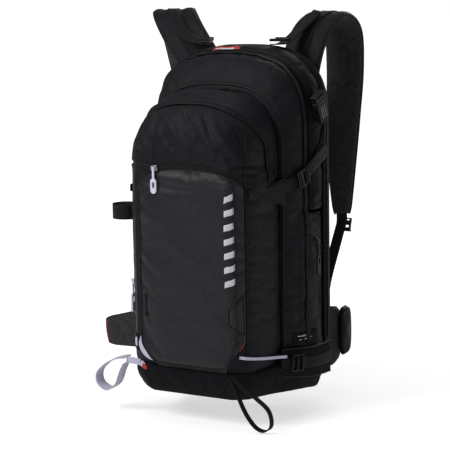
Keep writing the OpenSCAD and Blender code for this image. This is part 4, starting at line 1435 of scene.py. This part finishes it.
for z in range(194, 333, 23):
    patch("print", "reflective_bars", stash_skin,
          [(84, -124, z), (98, -121, z + 6), (98, -121, z + 16), (84, -124, z + 10)], 8, 6, 0.5)
patch("red_trim", "sleeve_label", sleeve_skin, [(-48, 61, 580), (8, 61, 580), (8, 53, 571), (-48, 53, 571)], 12, 6, 0.7)
patch("print", "sleeve_label_bar", sleeve_skin,
      [(-44, 56, 578), (-2, 56, 578), (-2, 53.5, 573), (-44, 53.5, 573)], 12, 3, 0.95)
patch("dark", "side_label", main_skin, upright((141, -2), (148, 66), 80, 99), 12, 6, 1.0)
for y0, y1, z in ((6, 34, 92.5), (40, 46, 92.5), (6, 58, 86.5)):
    patch("print", "side_label_bars", main_skin, upright((143, y0), (146, y1), z - 1.2, z + 1.2), 5, 2, 1.3)

# White strap of the ski loop: what shows beside the stash panel, its root on the base cover and its way to the
# loop, with the black keeper and its light tab over it.
p, n = pocket_skin.lay(smooth([(-81, -123, 98), (-86, -122, 84), (-79, -123, 70), (-64, -124, 60)]), 2.0, 1.0)
tape("pack", "white_webbing", "ski_strap_root", p, n, 9, 1.4)
p, n = base_skin.lay(smooth([(-118, -104, 51), (-104, -110, 50), (-94, -112, 48), (-87, -114, 45)]), 2.0, 1.2)
tape("pack", "white_webbing", "ski_strap_root", p, n, 9, 1.6)
ribbon("pack", "white_webbing", "ski_strap_root",
       smooth([(-98, -111, 49), (-108, -111, 50), (-117, -112, 51), (-124, -112.5, 51.5)]), (0, 0.2, 1), 11, 1.6)
patch("webbing", "ski_strap_keeper", pocket_skin, upright((-108, -108), (-93, -120), 72, 100), 6, 8, 2.6)
patch("white_webbing", "ski_keeper_tab", pocket_skin, upright((-97.5, -116), (-92.5, -119), 79, 95), 4, 6, 3.3)
patch("red_trim", "red_tab_left", base_skin,
      [(-90, -113, 48), (-80, -114, 45), (-81, -114, 38), (-91, -113, 41)], 6, 5, 3.6)

# Glossy rails along the outer face of the accessory buckle's socket, coloured light grey as painted highlight streaks.
lo, hi = cad("accessory_socket")
along, across = np.array([0, 0.42, -0.9]), np.array([0, 0.9, 0.42])
for s in (-6, 0, 6):
    middle = np.array([hi[0] + 0.1, (lo[1] + hi[1]) / 2, (lo[2] + hi[2]) / 2]) + across * s
    cord("pack", "gloss", "socket_rails", middle + along * np.linspace(-11, 11, 9)[:, None], 1.4)

# Window of mesh at the stash panel's lower right edge, and the lash slot at its lower left.
window = [(89, -122, 132), (106.5, -110, 113), (106.5, -110, 179), (89, -122, 160)]
patch("mesh", "drain_window", stash_skin, window, 8, 12, 0.7)
cord("pack", "piping", "window_piping", stash_skin.lay(window + window[:1], 2.0, 0.7)[0], 1.1)
patch("dark", "lash_slot", stash_skin, upright((-71, -124), (-66, -124), 138, 170), 3, 8, 0.4)
for z in (137, 171):
    q, n = stash_skin.near((-68.5, -126, z))
    bartack("pack", q, (1, 0, 0), n, 9)

# Triangular anchors of the compression straps on the bag's sides, 1.6 mm thick.
RUNGS = 10
for s in (-1, 1):
    tip, high, low = np.array([(s * 151.4, 46, 378), (s * 150.6, 97, 448), (s * 150.6, 97, 384)], float)
    outer = np.array([tip + (q - tip) * k / RUNGS for k in range(RUNGS + 1) for q in (high, low)])
    m, faces = len(outer), []
    for k in range(0, 2 * RUNGS, 2):
        quad = [k, k + 2, k + 3, k + 1]
        faces += [quad, [q + m for q in quad[::-1]], [k, k + m, k + 2 + m, k + 2], [k + 1, k + 3, k + 3 + m, k + 1 + m]]
    faces.append([m - 2, 2 * m - 2, 2 * m - 1, m - 1])
    put("pack", "ripstop", "strap_anchors", np.vstack([outer, outer - (1.6 * s, 0, 0)]), faces)

# Cord pull on top of the pocket.
p, n = pocket_skin.lay(smooth([(26, -40, 512), (34, -34, 511), (36, -27, 510), (46, -26, 508), (52, -20, 505)]),
                       1.5, 1.6)
cord("pack", "piping", "cord_pull", p, 1.4)
# Bar of webbing over the sewn ends of the shoulder straps on the back panel.
p, n = back_skin.lay([(x, 130, 458) for x in range(-120, 121, 8)], 3.0, 1.0, outward=(0, 1, 0))
tape("pack", "shell", "shoulder_yoke", p, n, 22, 2.2)
for shift in (-8, 8):
    stitches("pack", p + n * 1.2, n, shift)

# Load-bearing edges of the belt's side bands, the webbing along them and its ladder adjusters.
for pts in both_sides(STABILISER):
    path = smooth(pts)
    a, v = across_ref(path, (0, 0, 1))
    v = facing_out(v, path * (1, 0, 0))
    for way in (-1, 1):
        half = np.linspace(22.5, 26.5, len(path))[:, None]
        cord("pack", "piping", "belt_band_edges", path + a * way * half + v * 0.6, 1.5)
        stitches("pack", path + a * way * (half - 5) + v * 1.6, v)
    put("pack", "webbing", "belt_band_web", *sweep(path + v * 2.4, a, v, STRAP_EDGE * (20, 1.6)))
    i = len(path) // 3
    centre, t = path[i] + v[i] * 5.2, tangents(path)[i]
    for shift in (-11, 0, 11):
        cord("pack", "buckle", "belt_adjusters", centre + t * shift + a[i] * np.linspace(-14, 14, 8)[:, None], 2.1)
    for shift in (-13, 13):
        cord("pack", "buckle", "belt_adjusters", centre + a[i] * shift + t * np.linspace(-11, 11, 8)[:, None], 2.1)

# ---------- camera, light and floor ----------

FLOOR_Z = -0.047
floor_mat = bpy.data.materials.new("studio_floor")
floor_mat.use_nodes = True
ft = floor_mat.node_tree
floor_bsdf = ft.nodes["Principled BSDF"]
floor_noise = link(ft, "ShaderNodeTexNoise", {"Scale": 3.0})
floor_tone = link(ft, "ShaderNodeMapRange", {"Value": floor_noise.outputs["Fac"], "To Min": 0.74, "To Max": 0.78})
ft.links.new(floor_tone.outputs[0], floor_bsdf.inputs["Base Color"])
floor_bsdf.inputs["Roughness"].default_value = 0.95
floor_bsdf.inputs["Specular IOR Level"].default_value = 0.1
floor_bsdf.inputs["Emission Color"].default_value = (1, 1, 1, 1)
away = link(ft, "ShaderNodeVectorMath", {0: link(ft, "ShaderNodeTexCoord").outputs["Object"]}, operation="LENGTH")
glow = link(ft, "ShaderNodeMapRange", {"Value": away.outputs["Value"], "From Min": 0.7, "From Max": 3.0,
                                       "To Min": 0.62, "To Max": 1.0})
to_camera = link(ft, "ShaderNodeMapRange", {"Value": link(ft, "ShaderNodeLightPath").outputs["Is Camera Ray"],
                                            "To Min": 0.35, "To Max": 1.0})
glow = link(ft, "ShaderNodeMath", {0: glow.outputs[0], 1: to_camera.outputs[0]}, operation="MULTIPLY")
ft.links.new(glow.outputs[0], floor_bsdf.inputs["Emission Strength"])
bpy.ops.mesh.primitive_plane_add(size=60, location=(0, 0, FLOOR_Z))
floor = bpy.context.object
floor.name = "studio_floor"
floor.data.materials.append(floor_mat)

pour()

AZIMUTH, ELEVATION, ROLL = math.radians(31.5), math.radians(8), math.radians(1)
AIM, DISTANCE = Vector((0, 0, 0.29)), 2.8
right = Vector((math.cos(AZIMUTH), math.sin(AZIMUTH), 0))
up = Vector((-math.sin(AZIMUTH) * math.sin(ELEVATION), math.cos(AZIMUTH) * math.sin(ELEVATION), math.cos(ELEVATION)))
toward = right.cross(up)
cam_data = bpy.data.cameras.new("camera")
cam = add_object("camera", cam_data)
cam_right = right * math.cos(ROLL) - up * math.sin(ROLL)
cam_up = right * math.sin(ROLL) + up * math.cos(ROLL)
turn = Matrix((cam_right, cam_up, toward)).transposed()
cam.matrix_world = Matrix.Translation(AIM + toward * DISTANCE) @ turn.to_4x4()
cam_data.sensor_width = 36
cam_data.lens = 131.7
cam_data.shift_x = 0.0089
cam_data.shift_y = -0.0196
cam_data.clip_end = 80
scene.camera = cam
scene.view_settings.view_transform = "Standard"

world = bpy.data.worlds.new("studio")
scene.world = world
world.use_nodes = True
wt = world.node_tree
seen = link(wt, "ShaderNodeLightPath").outputs["Is Camera Ray"]
level = link(wt, "ShaderNodeMapRange", {"Value": seen, "To Min": 0.17, "To Max": 1.0})
wt.links.new(level.outputs[0], wt.nodes["Background"].inputs[1])
wt.nodes["Background"].inputs[0].default_value = (1, 1, 1, 1)


def softbox(name, where, size, power):
    light = bpy.data.lights.new(name, "AREA")
    light.shape = "RECTANGLE"
    light.size, light.size_y = size
    light.energy = power
    obj = add_object(name, light)
    obj.location = where
    obj.rotation_euler = (AIM - Vector(where)).to_track_quat("-Z", "Y").to_euler()


softbox("key", AIM + toward * 0.95 - right * 1.3 + up * 1.1, (0.8, 0.9), 22)
softbox("fill", AIM + toward * 0.7 + right * 2.2 + up * 0.9, (0.6, 1.8), 2.0)
softbox("top", AIM + Vector((0, 0.1, 2.0)), (1.6, 1.6), 7.5)
softbox("rim", AIM - toward * 1.6 + right * 1.0 + up * 1.4, (1.0, 1.4), 18)
